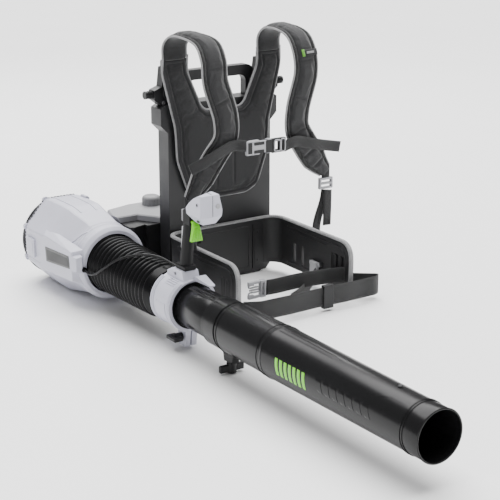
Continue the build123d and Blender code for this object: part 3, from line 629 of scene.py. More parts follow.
def shoulder_strap(side):
    tag = "right" if side < 0 else "left"
    points = curve(strap_route(side), STEP)
    _, across, out = frames(points, (1, 0, 0))
    total = STEP * (len(points) - 1)
    outer, inner = strap_section(side)
    section = outer + inner
    seams = CROSS_SEAMS[side]
    pull = random.Random(11 + side)
    waves = [(pull.uniform(0.02, 0.06), pull.uniform(0, 6.28), pull.uniform(0.3, 0.6)) for _ in range(5)]
    rings = []
    for i, (p, a, o) in enumerate(zip(points, across, out)):
        s = total * i / (len(points) - 1)
        half = strap_half_width(s, total)
        drop = 1 - 0.5 * dip(s, seams, 2.8)
        ripple = sum(h * math.sin(s * w + ph) for w, ph, h in waves)
        ring = []
        for u, w in section:
            inside = abs(u) < RAISED and w > 0
            lift = w * (drop if inside else 1) + (ripple * 0.5 if w > 0 else -ripple * 0.6) * (1 - u * u)
            ring.append(p + a * u * half + o * lift)
        rings.append(ring)
    width = [STRAP_W / 2 * u for u, w in section]
    pad = loft(f"shoulder_pad_{tag}_cloth", rings, PAD, width)
    mark_borders(pad, section)
    pin_and_inflate(pad, section, len(points), seams, total)
    modify(pad, "SUBSURF", levels=1, render_levels=1)
    freeze(pad)
    settle(pad, "pack", "pad_fabric", f"shoulder_pad_{tag}")
    trim_strap(tag, side, points, across, out, total)


def mark_borders(pad, section):
    """The strips between piping and seam are a plain, darker cloth."""
    pad.data.materials.append(BORDER)
    cols = len(section)
    for face in pad.data.polygons:
        places = [section[v % cols] for v in face.vertices]
        if len(places) == 4 and all(w > -1 and abs(u) > 0.68 for u, w in places):
            face.material_index = 1


def pin_and_inflate(pad, section, rows, seams, total):
    """Foam pushes the cloth out between its seams; the edges and the seams hold still."""
    group = pad.vertex_groups.new(name="held")
    cols = len(section)
    for i in range(rows):
        s = total * i / (rows - 1)
        seam_row = dip(s, seams, 3.0) > 0.5
        for k, (u, w) in enumerate(section):
            a = abs(u)
            hold = 1.0 if a > 0.9 or i < 2 or i > rows - 3 else 0.0
            if w > 0 and abs(a - 0.69) < 0.05:
                hold = 1.0
            if w > 0 and seam_row and a < 0.7:
                hold = 0.92
            if w < 0 and a < 0.9:
                hold = max(hold, 0.55)
            if hold:
                group.add([i * cols + k], hold, "REPLACE")
    simulate(pad, pressure=2.6)


def simulate(obj, pressure, reach=2.2):
    """A short cloth simulation with inside pressure: the held points stay, none moves further than reach."""
    before = np.zeros(len(obj.data.vertices) * 3)
    obj.data.vertices.foreach_get("co", before)
    cloth = obj.modifiers.new("Cloth", "CLOTH")
    settings = cloth.settings
    settings.quality = 6
    settings.mass = 0.25
    settings.tension_stiffness = 12
    settings.compression_stiffness = 12
    settings.shear_stiffness = 6
    settings.bending_stiffness = 0.4
    settings.use_pressure = True
    settings.uniform_pressure_force = pressure
    settings.effector_weights.gravity = 0
    settings.shrink_min = -0.02
    settings.vertex_group_mass = "held"
    settings.pin_stiffness = 1
    cloth.collision_settings.use_collision = False
    cloth.point_cache.frame_start = 1
    cloth.point_cache.frame_end = CLOTH_FRAMES
    scene = bpy.context.scene
    for number in range(1, CLOTH_FRAMES + 1):
        scene.frame_set(number)
    done = evaluated(obj)
    after = np.zeros(len(done.vertices) * 3)
    done.vertices.foreach_get("co", after)
    obj.modifiers.clear()
    bpy.data.meshes.remove(done)
    scene.frame_set(1)
    move = (after - before).reshape(-1, 3)
    size = np.linalg.norm(move, axis=1)
    move *= np.minimum(1, reach * MM / np.maximum(size, 1e-9))[:, None]
    obj.data.vertices.foreach_set("co", (before.reshape(-1, 3) + move).ravel())
    obj.data.update()


def trim_strap(tag, side, points, across, out, total):
    """Piping down both edges, and threads along and across the strap."""
    count = len(points)
    place = [total * i / (count - 1) for i in range(count)]
    halves = np.array([strap_half_width(s, total) for s in place])[:, None]
    for end, name in ((-1, "a"), (1, "b")):
        edge = points + across * halves * end * 1.01 - out * 1.4
        cord = round_cord(f"strap_piping_{tag}_{name}", edge[1:-1], 2.6, PIPING)
        settle(cord, "pack", "piping")
    lines = []
    for end in (-1, 1):
        for share, lift in ((0.76, 3.35), (0.62, 5.5)):
            lines.append((points + across * halves * end * share + out * lift, out))
    for seam in CROSS_SEAMS[side]:
        at = int(round(seam / total * (count - 1)))
        if at < count - 2:
            across_it = np.linspace(-0.62, 0.62, 15)
            lifts = [5.2 if abs(u) < 0.5 else 3.9 for u in across_it]
            row = [points[at] + across[at] * halves[at] * u + out[at] * lift
                   for u, lift in zip(across_it, lifts)]
            lines.append((row, [out[at]] * len(row)))
    settle(stitches(f"strap_thread_{tag}", lines, THREAD), "pack", "pad_fabric")


shoulder_strap(-1)
shoulder_strap(1)


# ---------------------------------------------------------------- back pad

PAD_HALF = [(0, 226), (70, 228), (104, 246), (120, 290), (136, 335), (140, 419), (160, 497), (176, 560),
            (176, 596), (106, 596), (106, 560), (66, 470), (52, 458)]
PAD_FRONT = -49.4
PAD_BACK = -38
PAD_SIDE = -37


def pad_outline():
    return PAD_HALF + [(-x, z) for x, z in reversed(PAD_HALF[1:])]


def outline_distance(x, z, outline):
    """How far each point is from a closed outline."""
    best = np.full(len(x), 1e9)
    for (ax, az), (bx, bz) in zip(outline, outline[1:] + outline[:1]):
        run, rise = bx - ax, bz - az
        t = np.clip(((x - ax) * run + (z - az) * rise) / (run * run + rise * rise), 0, 1)
        best = np.minimum(best, np.hypot(x - ax - t * run, z - az - t * rise))
    return best


def back_pad():
    mesh = frame["nodes"]["back_pad"].data.copy()
    mesh.materials.clear()
    mesh.materials.append(PAD)
    pad = link("back_pad_cloth", mesh)
    modify(pad, "REMESH", mode="VOXEL", voxel_size=0.0045, use_smooth_shade=True)
    freeze(pad)
    points = mesh_points(pad)
    rim = outline_distance(points[:, 0], points[:, 2], pad_outline())
    points[:, 1] += np.where(points[:, 1] < PAD_BACK, 1.8, 0)
    set_mesh_points(pad, points)
    group = pad.vertex_groups.new(name="held")
    still = np.nonzero((points[:, 1] > PAD_BACK) | (rim < 15))[0]
    group.add([int(i) for i in still], 1.0, "REPLACE")
    simulate(pad, pressure=3.0, reach=3.5)
    modify(pad, "SUBSURF", levels=1, render_levels=1)
    freeze(pad)
    points = mesh_points(pad)
    rim = outline_distance(points[:, 0], points[:, 2], pad_outline())
    front = np.clip((PAD_BACK - points[:, 1]) / 6, 0, 1)
    welt = 2.6 * np.exp(-((rim - 13) / 2.2) ** 2) - 1.2 * np.exp(-((rim - 6) / 4.0) ** 2)
    spine = 2.2 * np.exp(-((np.abs(points[:, 0]) - 26) / 2.4) ** 2) * np.clip((430 - points[:, 2]) / 20, 0, 1)
    spine *= np.clip((points[:, 2] - 250) / 20, 0, 1)
    ease = np.clip((points[:, 2] - 548) / 44, 0, 1)
    points[:, 1] += front * (welt + spine + 6.5 * ease * ease * (3 - 2 * ease))
    set_mesh_points(pad, points)
    settle(pad, "pack", "pad_fabric", "back_pad")
    pad_trim()


def pad_trim():
    """Piping round the pad's outer and inner outlines, and a seam low on its front."""
    outer = [(174, PAD_BACK, 604)] + [(x, PAD_SIDE, z) for x, z in PAD_HALF[7:0:-1]]
    outer += [(-x, y, z) for x, y, z in reversed(outer)]
    inner = [(104, PAD_BACK, 604)] + [(x, PAD_SIDE, z) for x, z in PAD_HALF[10:]]
    inner += [(-x, y, z) for x, y, z in reversed(inner)]
    for name, path in (("outer", outer), ("inner", inner)):
        settle(round_cord(f"pad_piping_{name}", rounded(path, 26, 4), 3.0, PIPING), "pack", "piping")
    seam = [(x * 0.9, PAD_FRONT + 0.6, z) for x, z in ((118, 300), (102, 262), (64, 244))]
    seam += [(-x, y, z) for x, y, z in reversed(seam)]
    route = rounded(seam, 30, 4)
    settle(stitches("pad_thread", [(route, [(0, -1, 0)] * len(route))], THREAD), "pack", "pad_fabric")


def mesh_points(obj):
    co = np.zeros(len(obj.data.vertices) * 3)
    obj.data.vertices.foreach_get("co", co)
    return co.reshape(-1, 3) / MM


def set_mesh_points(obj, points):
    obj.data.vertices.foreach_set("co", (points * MM).ravel())
    obj.data.update()


# ---------------------------------------------------------------- belt and webbing

ARM_X = 168
ARM_BACK = -34
ARM_FRONT = -364
ARM_TOP = 146


def belt_binding():
    """Binding tape folded over the belt's top edge, from one arm's front round the back to the other's."""
    front = ARM_FRONT - 2.7
    high = ARM_TOP + 2.7
    half = [(ARM_X, front, 42), (ARM_X, front, high), (ARM_X, ARM_BACK, high), (0, ARM_BACK, high)]
    right = rounded(half, 43, 4)
    route = np.vstack([right[:-1], right[::-1] * (-1, 1, 1)])
    along = np.gradient(route, axis=0)
    along /= np.linalg.norm(along, axis=1)[:, None]
    wide = np.cross((0, 0, 1), along)
    size = np.linalg.norm(wide, axis=1)
    wide = np.where(size[:, None] > 0.08, wide, np.sign(route[:, :1]) * np.array([1.0, 0, 0]))
    sections = []
    section = [(-6.6, -3.4), (-6.9, 0), (-5.4, 2.2), (-2.5, 3.0), (2.5, 3.0), (5.4, 2.2), (6.9, 0),
               (6.6, -3.4), (0, -2.6)]
    last = None
    for p, a, w in zip(route, along, wide):
        w = unit(w - a * np.dot(w, a))
        if last is not None and np.dot(w, last) < 0:
            w = -w
        last = w
        up = np.cross(a, w)
        if np.dot(up, p - np.array([p[0] * 0.9, -150, 60])) < 0:
            up = -up
        sections.append([p + w * u + up * v for u, v in section])
    binding = loft("belt_binding", sections, PIPING, [u for u, v in section])
    modify(binding, "SUBSURF", levels=1, render_levels=1)
    freeze(binding)
    settle(binding, "pack", "piping", "hip_trim")
    lines = []
    for sign in (-1, 1):
        lines.append((route + wide_offset(route, along, sign * 5.2, 2.3), upward(route, along)))
    settle(stitches("belt_thread", lines, THREAD, pitch=6), "pack", "piping")


def wide_offset(route, along, across, up):
    wide = np.cross((0, 0, 1), along)
    size = np.linalg.norm(wide, axis=1)[:, None]
    wide = np.where(size > 0.08, wide / np.maximum(size, 1e-6), np.array([1.0, 0, 0]))
    return wide * across + upward(route, along) * up


def upward(route, along):
    """Away from the panel that the binding is folded over."""
    out = np.zeros_like(route)
    level = np.abs(along[:, 2])
    out[:, 2] = 1 - level
    out[:, 1] = -level
    return out / np.linalg.norm(out, axis=1)[:, None]


def tack_lines(centre, across, along, out, width, length):
    """A box of stitches with a cross in it."""
    c, a, b, o = (np.array(v, float) for v in (centre, across, along, out))
    corners = [c + a * sx * width / 2 + b * sy * length / 2 + o for sx, sy in CORNERS]
    pairs = [(0, 1), (1, 2), (2, 3), (3, 0), (0, 2), (1, 3)]
    return [([corners[i], corners[j]], [out, out]) for i, j in pairs]


def hip_webbing():
    """The wide web across the front, the one above it to the open buckle, and the slanted one."""
    plan = [(-158, -372), (-120, -391), (230, -391), (249, -378), (184, -330)]
    route = rounded([(x, y, 37) for x, y in plan], 9, 5)
    sag = np.sin(np.clip((route[:, 0] + 120) / 350, 0, 1) * math.pi)
    route[:, 1] += 1.6 * sag * np.sin(route[:, 0] / 31)
    web = ribbon("hip_web_front", route, 50, 2.4, (0, 0, 1), WIDE_WEB)
    settle(web, "pack", "webbing", "hip_webbing_front")
    upper = rounded([(162, -348, 66), (120, -330, 66), (-58, -322, 66)], 40, 5)
    upper[:, 2] += 1.2 * np.sin(upper[:, 0] / 24)
    web = ribbon("hip_web_upper", upper, 40, 2.4, (0, 0, 1), WIDE_WEB)
    settle(web, "pack", "webbing", "hip_webbing_inner")
    slanted = curve([(140, -256, 48), (84, -300, 38), (24, -350, 38), (-26, -382, 40)], 5)
    width = np.interp(np.linspace(0, 3, len(slanted)), [0, 1, 2, 3], [34, 38, 42, 42])
    settle(ribbon("hip_web_slanted", slanted, width, 2.4, (0, 0, 1), WIDE_WEB), "pack", "webbing")
    out = (0, -1.7, 0)
    lines = tack_lines((-104, -391, 37), (0, 0, 1), (1, 0, 0), out, 40, 26)
    lines += tack_lines((206, -391, 37), (0, 0, 1), (1, 0, 0), out, 40, 22)
    lines += tack_lines((-34, -322.4, 66), (0, 0, 1), (1, 0, 0), out, 32, 18)
    settle(stitches("hip_web_thread", lines, THREAD, pitch=3.4, length=2.4), "pack", "webbing")


def shoulder_webbing():
    """Below each strap: the tight run to the belt, the tab of the ladder lock and the loose end."""
    webs = []
    lines = []
    for side, tag in ((-1, "right"), (1, "left")):
        x, y, z = strap_route(side)[-1]
        lean = side * (ARM_X + 24)
        tight = [(x, y + 2, z - 49), (x - side * 5, y + 2, z - 78), (lean + side * 4, y + 3, 150),
                 (lean, y + 3, 72)]
        loose = [(x + side * 2, y - 8, z - 49), (x + side * 1, y - 9, z - 84), (x - side * 1, y - 10, 150)]
        tight_route = curve(tight, 5)
        tight_route[:, 1] += 1.2 * np.sin(tight_route[:, 2] / 22)
        webs.append(ribbon(f"shoulder_web_tight_{tag}", tight_route, 25, 2.4, (1, 0, 0), WEB))
        tab = curve([(x, y, z + 14), (x, y, z - 4), (x, y, z - 22)], 4)
        webs.append(ribbon(f"shoulder_web_tab_{tag}", tab, 25, 2.4, (1, 0, 0), WEB))
        webs.append(ribbon(f"shoulder_web_loose_{tag}", curve(loose, 5), 25, 2.4, (1, 0, 0), WEB))
        lines += tack_lines((x - side * 1, y - 10.4, 158), (1, 0, 0), (0, 0, 1), (0, -1.6, 0), 18, 9)
        lines += tack_lines((lean, y + 2.6, 86), (1, 0, 0), (0, 0, 1), (0, -1.6, 0), 18, 14)
    for i, web in enumerate(webs):
        settle(web, "pack", "webbing", *(["shoulder_webbing"] if i == 0 else []))
    settle(stitches("shoulder_web_thread", lines, THREAD, pitch=3.2, length=2.2), "pack", "webbing")


CHEST_Y = -220


def chest_webbing():
    """The two halves of the chest strap, with their tacks."""
    y = CHEST_Y
    left = curve([(-204, y + 8, 356), (-168, y, 372), (-88, y, 403), (-46, y, 398)], 4)
    right = curve([(62, y, 384), (100, y, 392), (128, y, 386), (186, y, 372), (236, y, 362)], 4)
    left[:, 1] += 1.0 * np.sin(left[:, 0] / 17)
    right[:, 1] += 1.0 * np.sin(right[:, 0] / 14)
    for tag, route in (("left", left), ("right", right)):
        node = f"chest_strap_{tag}"
        settle(ribbon(f"chest_web_{tag}", route, 28, 2.4, (0, 0, 1), WEB), BODY_OF[node], "webbing", node)
    lines = tack_lines((-66, y, 401), (0, 0, 1), (1, 0, 0.02), (0, -1.8, 0), 20, 14)
    lines += tack_lines((84, y, 389), (0, 0, 1), (1, 0, 0.2), (0, -1.8, 0), 20, 12)
    lines += tack_lines((228, y, 363.5), (0, 0, 1), (1, 0, -0.2), (0, -1.8, 0), 22, 8)
    settle(stitches("chest_web_thread", lines, THREAD, pitch=3.2, length=2.2), "chest_strap", "webbing")


back_pad()
belt_binding()
hip_webbing()
shoulder_webbing()
chest_webbing()


# ---------------------------------------------------------------- hose, tubes and cable

COLLAR_END = -54


def turned(name, profile, material, segments=128):
    """A closed profile of (radius, y) turned about the blower's line."""
    rings = [[(AXIS_X + r * c, y, AXIS_Z + r * s) for r, y in profile] for c, s in circle(segments)]
    return loft(name, rings, material, loop=True)


def bellows_profile(low, high, cuff=False):
    """Outer ridges out and the inner wall back; the ridges are rounded and the valleys are narrow."""
    pitch = 16.375
    outer, inner = [], []
    steps = int(round((high - low) / (pitch / 12)))
    for i in range(steps + 1):
        y = high + (low - high) * i / steps
        radius = 73 - 7 * (COLLAR_END - y) / 262
        phase = 2 * math.pi * (COLLAR_END - y) / pitch
        valley = (0.5 + 0.5 * math.cos(phase)) ** 1.2
        outer.append((radius - 7.0 * valley, y))
        inner.append((radius - 9.0 - 1.0 * valley, y))
    if cuff:
        outer += [(61.5, low - 1.5), (62.6, low - 4), (62.6, low - 8), (60.4, low - 10), (60.2, low - 31),
                  (59.2, low - 32)]
        inner += [(57.5, low - 3), (57.4, low - 32)]
    return outer + inner[::-1]


def bellows():
    rear = turned("bellows_rear_skin", bellows_profile(-170, -54.4), RUBBER)
    middle = turned("bellows_middle_skin", bellows_profile(-200, -170), RUBBER)
    front = turned("bellows_front_skin", bellows_profile(-316, -200, cuff=True), RUBBER)
    for piece, node in ((rear, "bellows_rear"), (middle, "bellows_middle"), (front, "bellows_front")):
        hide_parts(node)
    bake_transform(rear)
    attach(middle, "hose")
    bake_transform(front)


def axis_point(y):
    return (AXIS_X * MM, y * MM, AXIS_Z * MM)


CABLE_ROUTE = [
    (-424, -70, 108), (-423, -94, 104), (-421, -122, 111), (-413, -158, 135), (-396, -192, 161),
    (-373, -226, 176), (-352, -268, 185), (-343, -312, 187), (-340, -346, 184), (-340, -376, 182),
]
CABLE_CUTS = (-170, -200, -330, -353)


def control_cable():
    """One cable in five lengths; the middle one follows the hose."""
    route = curve(CABLE_ROUTE, 1.5)
    cuts = [0] + [int(np.argmin(np.abs(route[:, 1] - y))) for y in CABLE_CUTS] + [len(route) - 1]
    names = ("rear", "middle", "front", "slide", "end")
    joins = {"rear": ("pack", "hose", -72, -170), "front": ("hose", "tube", -200, -316),
             "slide": ("tube", "clamp_sleeve", -330, -353), "end": ("clamp_sleeve", "handle", -353, -376)}
    for name, first, last in zip(names, cuts, cuts[1:]):
        piece = round_cord(f"cable_{name}_jacket", route[first:last + 1], 3.0, CABLE, sides=16)
        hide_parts(f"cable_{name}")
        if name in joins:
            a, b, low, high = joins[name]
            axis_point(low)
            axis_point(high)
            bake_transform(piece)
        else:
            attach(piece, "hose")


bellows()
control_cable()


# ---------------------------------------------------------------- blower housing

HOUSING_ROWS = [(105.5, 238), (109, 222), (113, 200), (114, 150), (114, 100), (111, 80), (106, 60),
                (100, 30), (95, 0), (92.5, -20), (91, -30), (88.8, -48), (88, COLLAR_END)]
FACET = 45
SEAM_LEVEL = 76
BEADS = ((-16, 1.6), (-27, 1.6))


def housing_envelope(y):
    """The housing's radius at y, with its beads."""
    ys = [row[1] for row in HOUSING_ROWS[::-1]]
    rs = [row[0] for row in HOUSING_ROWS[::-1]]
    bead = sum(h * math.exp(-((y - at) / 2.6) ** 2) for at, h in BEADS)
    return float(np.interp(y, ys, rs)) + bead


def housing_point(y, degrees, out=0.0):
    """A point of the faceted shell; the facets fade into a round collar at the front."""
    radius = housing_envelope(y)
    fade = min(max((12 - y) / 52, 0), 1)
    fade = fade * fade * (3 - 2 * fade)
    off = (degrees + FACET / 2) % FACET - FACET / 2
    facet = radius * math.cos(math.radians(FACET / 2)) / math.cos(math.radians(off)) + 0.7
    r = facet * (1 - fade) + radius * fade + out
    t = math.radians(degrees)
    lift = 6 * (1 - fade) * min(max((math.sin(t) - 0.62) / 0.3, 0), 1)
    return (AXIS_X + r * math.cos(t), y, AXIS_Z + r * math.sin(t) + lift)


def housing_rows():
    ys = list(np.arange(238, COLLAR_END, -5.0)) + [COLLAR_END]
    for at, height in BEADS:
        ys += [at + d for d in (-4, -2, 0, 2, 4)]
    return sorted(set(ys), reverse=True)


def housing_shell():
    """Two shells that meet at a level seam, each with its wall."""
    angles = [FACET * k + off for k in range(8) for off in (-21.4, -14, -5, 5, 14, 21.4)]
    ys = housing_rows()
    outer = [[housing_point(y, a) for a in angles] for y in ys]
    inner = [[housing_point(y, a, -3.2) for a in angles] for y in reversed(ys)]
    for node, keep in (("housing_upper", 1), ("housing_lower", -1)):
        skin = loft(f"{node}_skin", outer + inner, GREY, loop=True)
        cut_level(skin, SEAM_LEVEL + 0.35 * keep, keep)
        soften(skin, 1.5, 3, 9)
        settle(skin, "pack", "grey_plastic", node)


def cut_level(obj, z, keep):
    """Keeps what is above (keep 1) or below (keep -1) a level plane and closes the cut."""
    bm = bmesh.new()
    bm.from_mesh(obj.data)
    geometry = bm.verts[:] + bm.edges[:] + bm.faces[:]
    cut = bmesh.ops.bisect_plane(bm, geom=geometry, plane_co=(0, 0, z * MM), plane_no=(0, 0, 1),
                                 clear_inner=keep > 0, clear_outer=keep < 0)
    edges = [e for e in cut["geom_cut"] if isinstance(e, bmesh.types.BMEdge)]
    bmesh.ops.triangle_fill(bm, edges=edges, use_beauty=True)
    bmesh.ops.recalc_face_normals(bm, faces=bm.faces)
    bm.to_mesh(obj.data)
    bm.free()


def shares(rim, steps):
    """Places from 0 to 1, with one more close to each end for a rounded rim."""
    return [0, *np.linspace(rim, 1 - rim, steps), 1]


def patch(name, corners, height, material, place, steps=(12, 6), edge=0.6):
    """A thin raised plate on a curved wall: four corners as (y, degrees), in order round it."""
    p = np.array(corners, float)
    us = shares(0.02, steps[0])
    vs = shares(0.06, steps[1])
    vertices, faces = [], []
    for level in (1, -1):
        for i, u in enumerate(us):
            for j, v in enumerate(vs):
                y, a = (1 - v) * ((1 - u) * p[0] + u * p[1]) + v * ((1 - u) * p[3] + u * p[2])
                rim = i in (0, len(us) - 1) or j in (0, len(vs) - 1)
                out = (height - (edge if rim else 0)) if level > 0 else -1.0
                vertices.append(place(y, a, out))
    rows, cols = len(us), len(vs)
    layer = rows * cols
    for i in range(rows - 1):
        for j in range(cols - 1):
            k = i * cols + j
            faces.append((k, k + 1, k + cols + 1, k + cols))
            faces.append((layer + k, layer + k + cols, layer + k + cols + 1, layer + k + 1))
    rim = list(range(cols)) + [i * cols + cols - 1 for i in range(1, rows)]
    rim += [(rows - 1) * cols + j for j in range(cols - 2, -1, -1)]
    rim += [i * cols for i in range(rows - 2, 0, -1)]
    for a, b in zip(rim, rim[1:] + rim[:1]):
        faces.append((a, a + layer, b + layer, b))
    return face_out(build(name, vertices, faces, material, np.zeros((len(vertices), 2))), crease=38)


def rectangle(y0, y1, a0, a1, slant=0.0):
    return [(y0, a0), (y1, a0), (y1 - slant, a1), (y0 - slant, a1)]


def housing_details():
    """Raised bosses, a crease, two ridges, corner tabs and the rim's teeth."""
    rows = [
        ("boss_rear", rectangle(208, 158, 168, 192), 6.0),
        ("boss_rear_inset", rectangle(200, 166, 172, 188), 6.9),
        ("crease", [(15, 153), (-22, 121), (-25, 122.5), (11, 154)], 1.6),
        ("ridge_top", rectangle(225, 60, 101, 103.5), 1.5),
        ("ridge_top_far", rectangle(225, 60, 76.5, 79), 1.5),
        ("tab_near", rectangle(252, 226, 109, 116), 5.5),
        ("tab_low", rectangle(250, 222, 154, 161), 5.5),
        ("tab_far", rectangle(184, 156, 64, 70), 5.5),
        ("tab_under", rectangle(250, 222, 199, 206), 5.5),
    ]
    for name, corners, height in rows:
        corners = [(min(y, 236), a) for y, a in corners]
        settle(patch(f"housing_{name}", corners, height, GREY, housing_point), "pack", "grey_plastic")
    teeth = []
    for k in range(72):
        tooth = rectangle(236, 229, 5 * k, 5 * k + 2.6)
        teeth.append(patch(f"rim_tooth_{k}", tooth, 2.2, DARK_GREY, housing_point, (2, 2)))
    settle(join(teeth, "housing_rim_teeth"), "pack", "dark_grey_plastic")


def side_panel():
    """The raised flat side with its blank name plate, and the cable boss in front of it."""
    flat = [(-447, 106, 158), (-447, -46, 150), (-447, -48, 76), (-447, 132, 64)]
    foot = [(-424, 128, 172), (-420, -60, 156), (-420, -60, 66), (-424, 158, 46)]
    settle(hull("housing_side_panel", flat + foot, GREY, 1.6), "pack", "grey_plastic")
    outline = [(94, 92), (98, 129), (-32, 137), (-40, 106)]
    blank = plate("housing_name_plate", "x", -446.6, outline, -1.7, PLATE_GREY, 0.5)
    settle(blank, "pack", "dark_grey_plastic")
    inset = [(86, 98), (89, 124), (-28, 131), (-34, 110)]
    face = plate("housing_name_plate_face", "x", -448.2, inset, -0.5, BLACK, 0.2)
    settle(face, "pack", "dark_grey_plastic")
    boss = [(-449, -40, 141), (-444, -66, 139), (-444, -66, 104), (-449, -40, 102)]
    root = [(-424, -34, 149), (-428, -70, 143), (-428, -70, 100), (-424, -34, 94)]
    settle(hull("housing_cable_boss", boss + root, GREY, 1.6), "pack", "grey_plastic")


def join(objects, name):
    """One mesh out of several that share a material."""
    bm = bmesh.new()
    for obj in objects:
        bm.from_mesh(obj.data)
    mesh = bpy.data.meshes.new(name)
    bm.to_mesh(mesh)
    bm.free()
    mesh.materials.append(objects[0].data.materials[0])
    for obj in objects:
        bpy.data.objects.remove(obj)
    return link(name, mesh)


# ---------------------------------------------------------------- marks on the tubes

def tube_point(radius):
    """A function that gives points of a round tube from (y, degrees, how far outside it)."""
    def place(y, degrees, out=0.0):
        t = math.radians(degrees)
        return (AXIS_X + (radius + out) * math.cos(t), y, AXIS_Z + (radius + out) * math.sin(t))
    return place


inner_point = tube_point(50)
clamp_point = tube_point(61)


def nozzle_point(y, degrees, out=0.0):
    radius = float(np.interp(y, [-1283, -1241, -788], [52.8, 52.8, 57.2]))
    return tube_point(radius)(y, degrees, out)


def nozzle_marks():
    """Plain green bars, raised ribs in place of any lettering, and two long moulded lines."""
    bars = []
    for k in range(7):
        y = -846 - 15 * k
        bars.append(patch(f"bar_{k}", rectangle(y, y - 9, 161, 196, 7), 0.35, LEAF_GREEN, nozzle_point,
                          (3, 6), 0.1))
    settle(join(bars, "nozzle_green_bars"), "nozzle_tube", "green_plastic")
    ribs = []
    for k in range(7):
        y = -980 - 24 * k
        ribs.append(patch(f"rib_{k}", rectangle(y, y - 15, 158, 184, 12), 0.9, TUBE, nozzle_point,
                          (3, 6), 0.4))
    settle(join(ribs, "nozzle_raised_ribs"), "nozzle_tube", "tube_plastic")
    lines = [patch(f"line_{k}", rectangle(-806, -985, a, a + 1.6), 0.8, TUBE, nozzle_point, (16, 2), 0.4)
             for k, a in enumerate((94, 104))]
    settle(join(lines, "nozzle_moulded_lines"), "nozzle_tube", "tube_plastic")


def lathed_tubes():
    """The two plain tubes, turned finely, with the rolled edges that the cut ends have."""
    nozzle = [(50, -1281.6), (50.6, -1283), (52.2, -1283), (52.8, -1282), (52.8, -1243), (53.1, -1240),
              (55.2, -1018), (57.0, -806), (57.6, -800), (57.6, -791), (57.0, -788.6), (54, -788.6)]
    inside = [(54.0, -817), (50.2, -830), (50.0, -1000)]
    settle(turned("nozzle_skin", nozzle + inside, TUBE, 160), "nozzle_tube", "tube_plastic", "nozzle")
    inner = [(50, -300), (50, -745), (47.8, -745), (47.8, -300)]
    settle(turned("inner_tube_skin", inner, TUBE, 160), "tube", "tube_plastic", "inner_tube")


housing_shell()
housing_details()
side_panel()
nozzle_marks()
lathed_tubes()


# ---------------------------------------------------------------- small moulded details

def oblong(centre, half_a, half_b, radius, steps=5):
    """A rectangle with round corners, as an outline for a plate."""
    out = []
    for k, (sa, sb) in enumerate(((1, 1), (-1, 1), (-1, -1), (1, -1))):
        for i in range(steps + 1):
            t = math.pi / 2 * (k + i / steps)
            out.append((centre[0] + sa * (half_a - radius) + radius * math.cos(t),
                        centre[1] + sb * (half_b - radius) + radius * math.sin(t)))
    return out


def bead(name, points, radius, material, body, slot_name, closed=False, corner=8):
    """A bead along straight runs with round corners."""
    route = rounded(points, corner, 4, closed)
    piece = round_cord(name, route[:-1] if closed else route, radius, material, 8, loop=closed)
    settle(piece, body, slot_name)


def hoop(name, ring, radius, material, body, slot_name):
    """A bead round a ring of points."""
    settle(round_cord(name, ring, radius, material, 8, loop=True), body, slot_name)


SIDES = ((1, "left"), (-1, "right"))
ARM_FACE = 4.6
LUMBAR_FRONT = -38.9


def arm_details():
    """Contour beads and slots on both faces of each belt arm."""
    for side, tag in SIDES:
        for face, place in ((-ARM_FACE, "inner"), (ARM_FACE, "outer")):
            x = side * (ARM_X + face)
            path = [(x, -96, 133), (x, -349, 133), (x, -349, 36), (x, -96, 36)]
            bead(f"arm_bead_{place}_{tag}", path, 1.5, ARM_BLACK, "pack", "black_plastic", corner=34)
            line = [(x, -104, 123), (x, -270, 123)]
            bead(f"arm_line_{place}_{tag}", line, 1.1, ARM_BLACK, "pack", "black_plastic")
            for k, y in enumerate((-304, -326)):
                loop = [(x, y - 6, 56), (x, y + 6, 56), (x, y + 6, 108), (x, y - 6, 108)]
                bead(f"arm_slot_{place}_{tag}_{k}", loop, 1.2, ARM_BLACK, "pack", "black_plastic", True, 6)
                # Painted shade: each slot floor is a thin plate a little darker than the arm and stands for the
                # shade in the slot.
                depth = math.copysign(0.5, face * side)
                pad = plate(f"arm_slot_floor_{place}_{tag}_{k}", "x", x, oblong((y, 82), 5, 25, 4), depth,
                            BLACK, 0.2)
                settle(pad, "pack", "black_plastic")


def lumbar_details():
    """A bead, two side tabs and their screws on the lumbar plate."""
    y = LUMBAR_FRONT
    loop = [(-78, y, 16), (78, y, 16), (78, y, 132), (-78, y, 132)]
    bead("lumbar_bead", loop, 1.3, ARM_BLACK, "pack", "black_plastic", True, 10)
    for sx in (-1, 1):
        panel = plate(f"lumbar_tab_{sx + 1}", "y", y + 0.4, oblong((sx * 106, 73), 9, 52, 4), -1.4,
                      ARM_BLACK, 0.5)
        settle(panel, "pack", "black_plastic")
        for z in (34, 112):
            profile = [(0, y - 1.6), (2.4, y - 1.6), (3.2, y - 0.9), (3.2, y)]
            screw = turned_about("y", (sx * 106, z), profile, BLACK, f"lumbar_screw_{sx + 1}_{z}")
            settle(screw, "pack", "black_plastic")


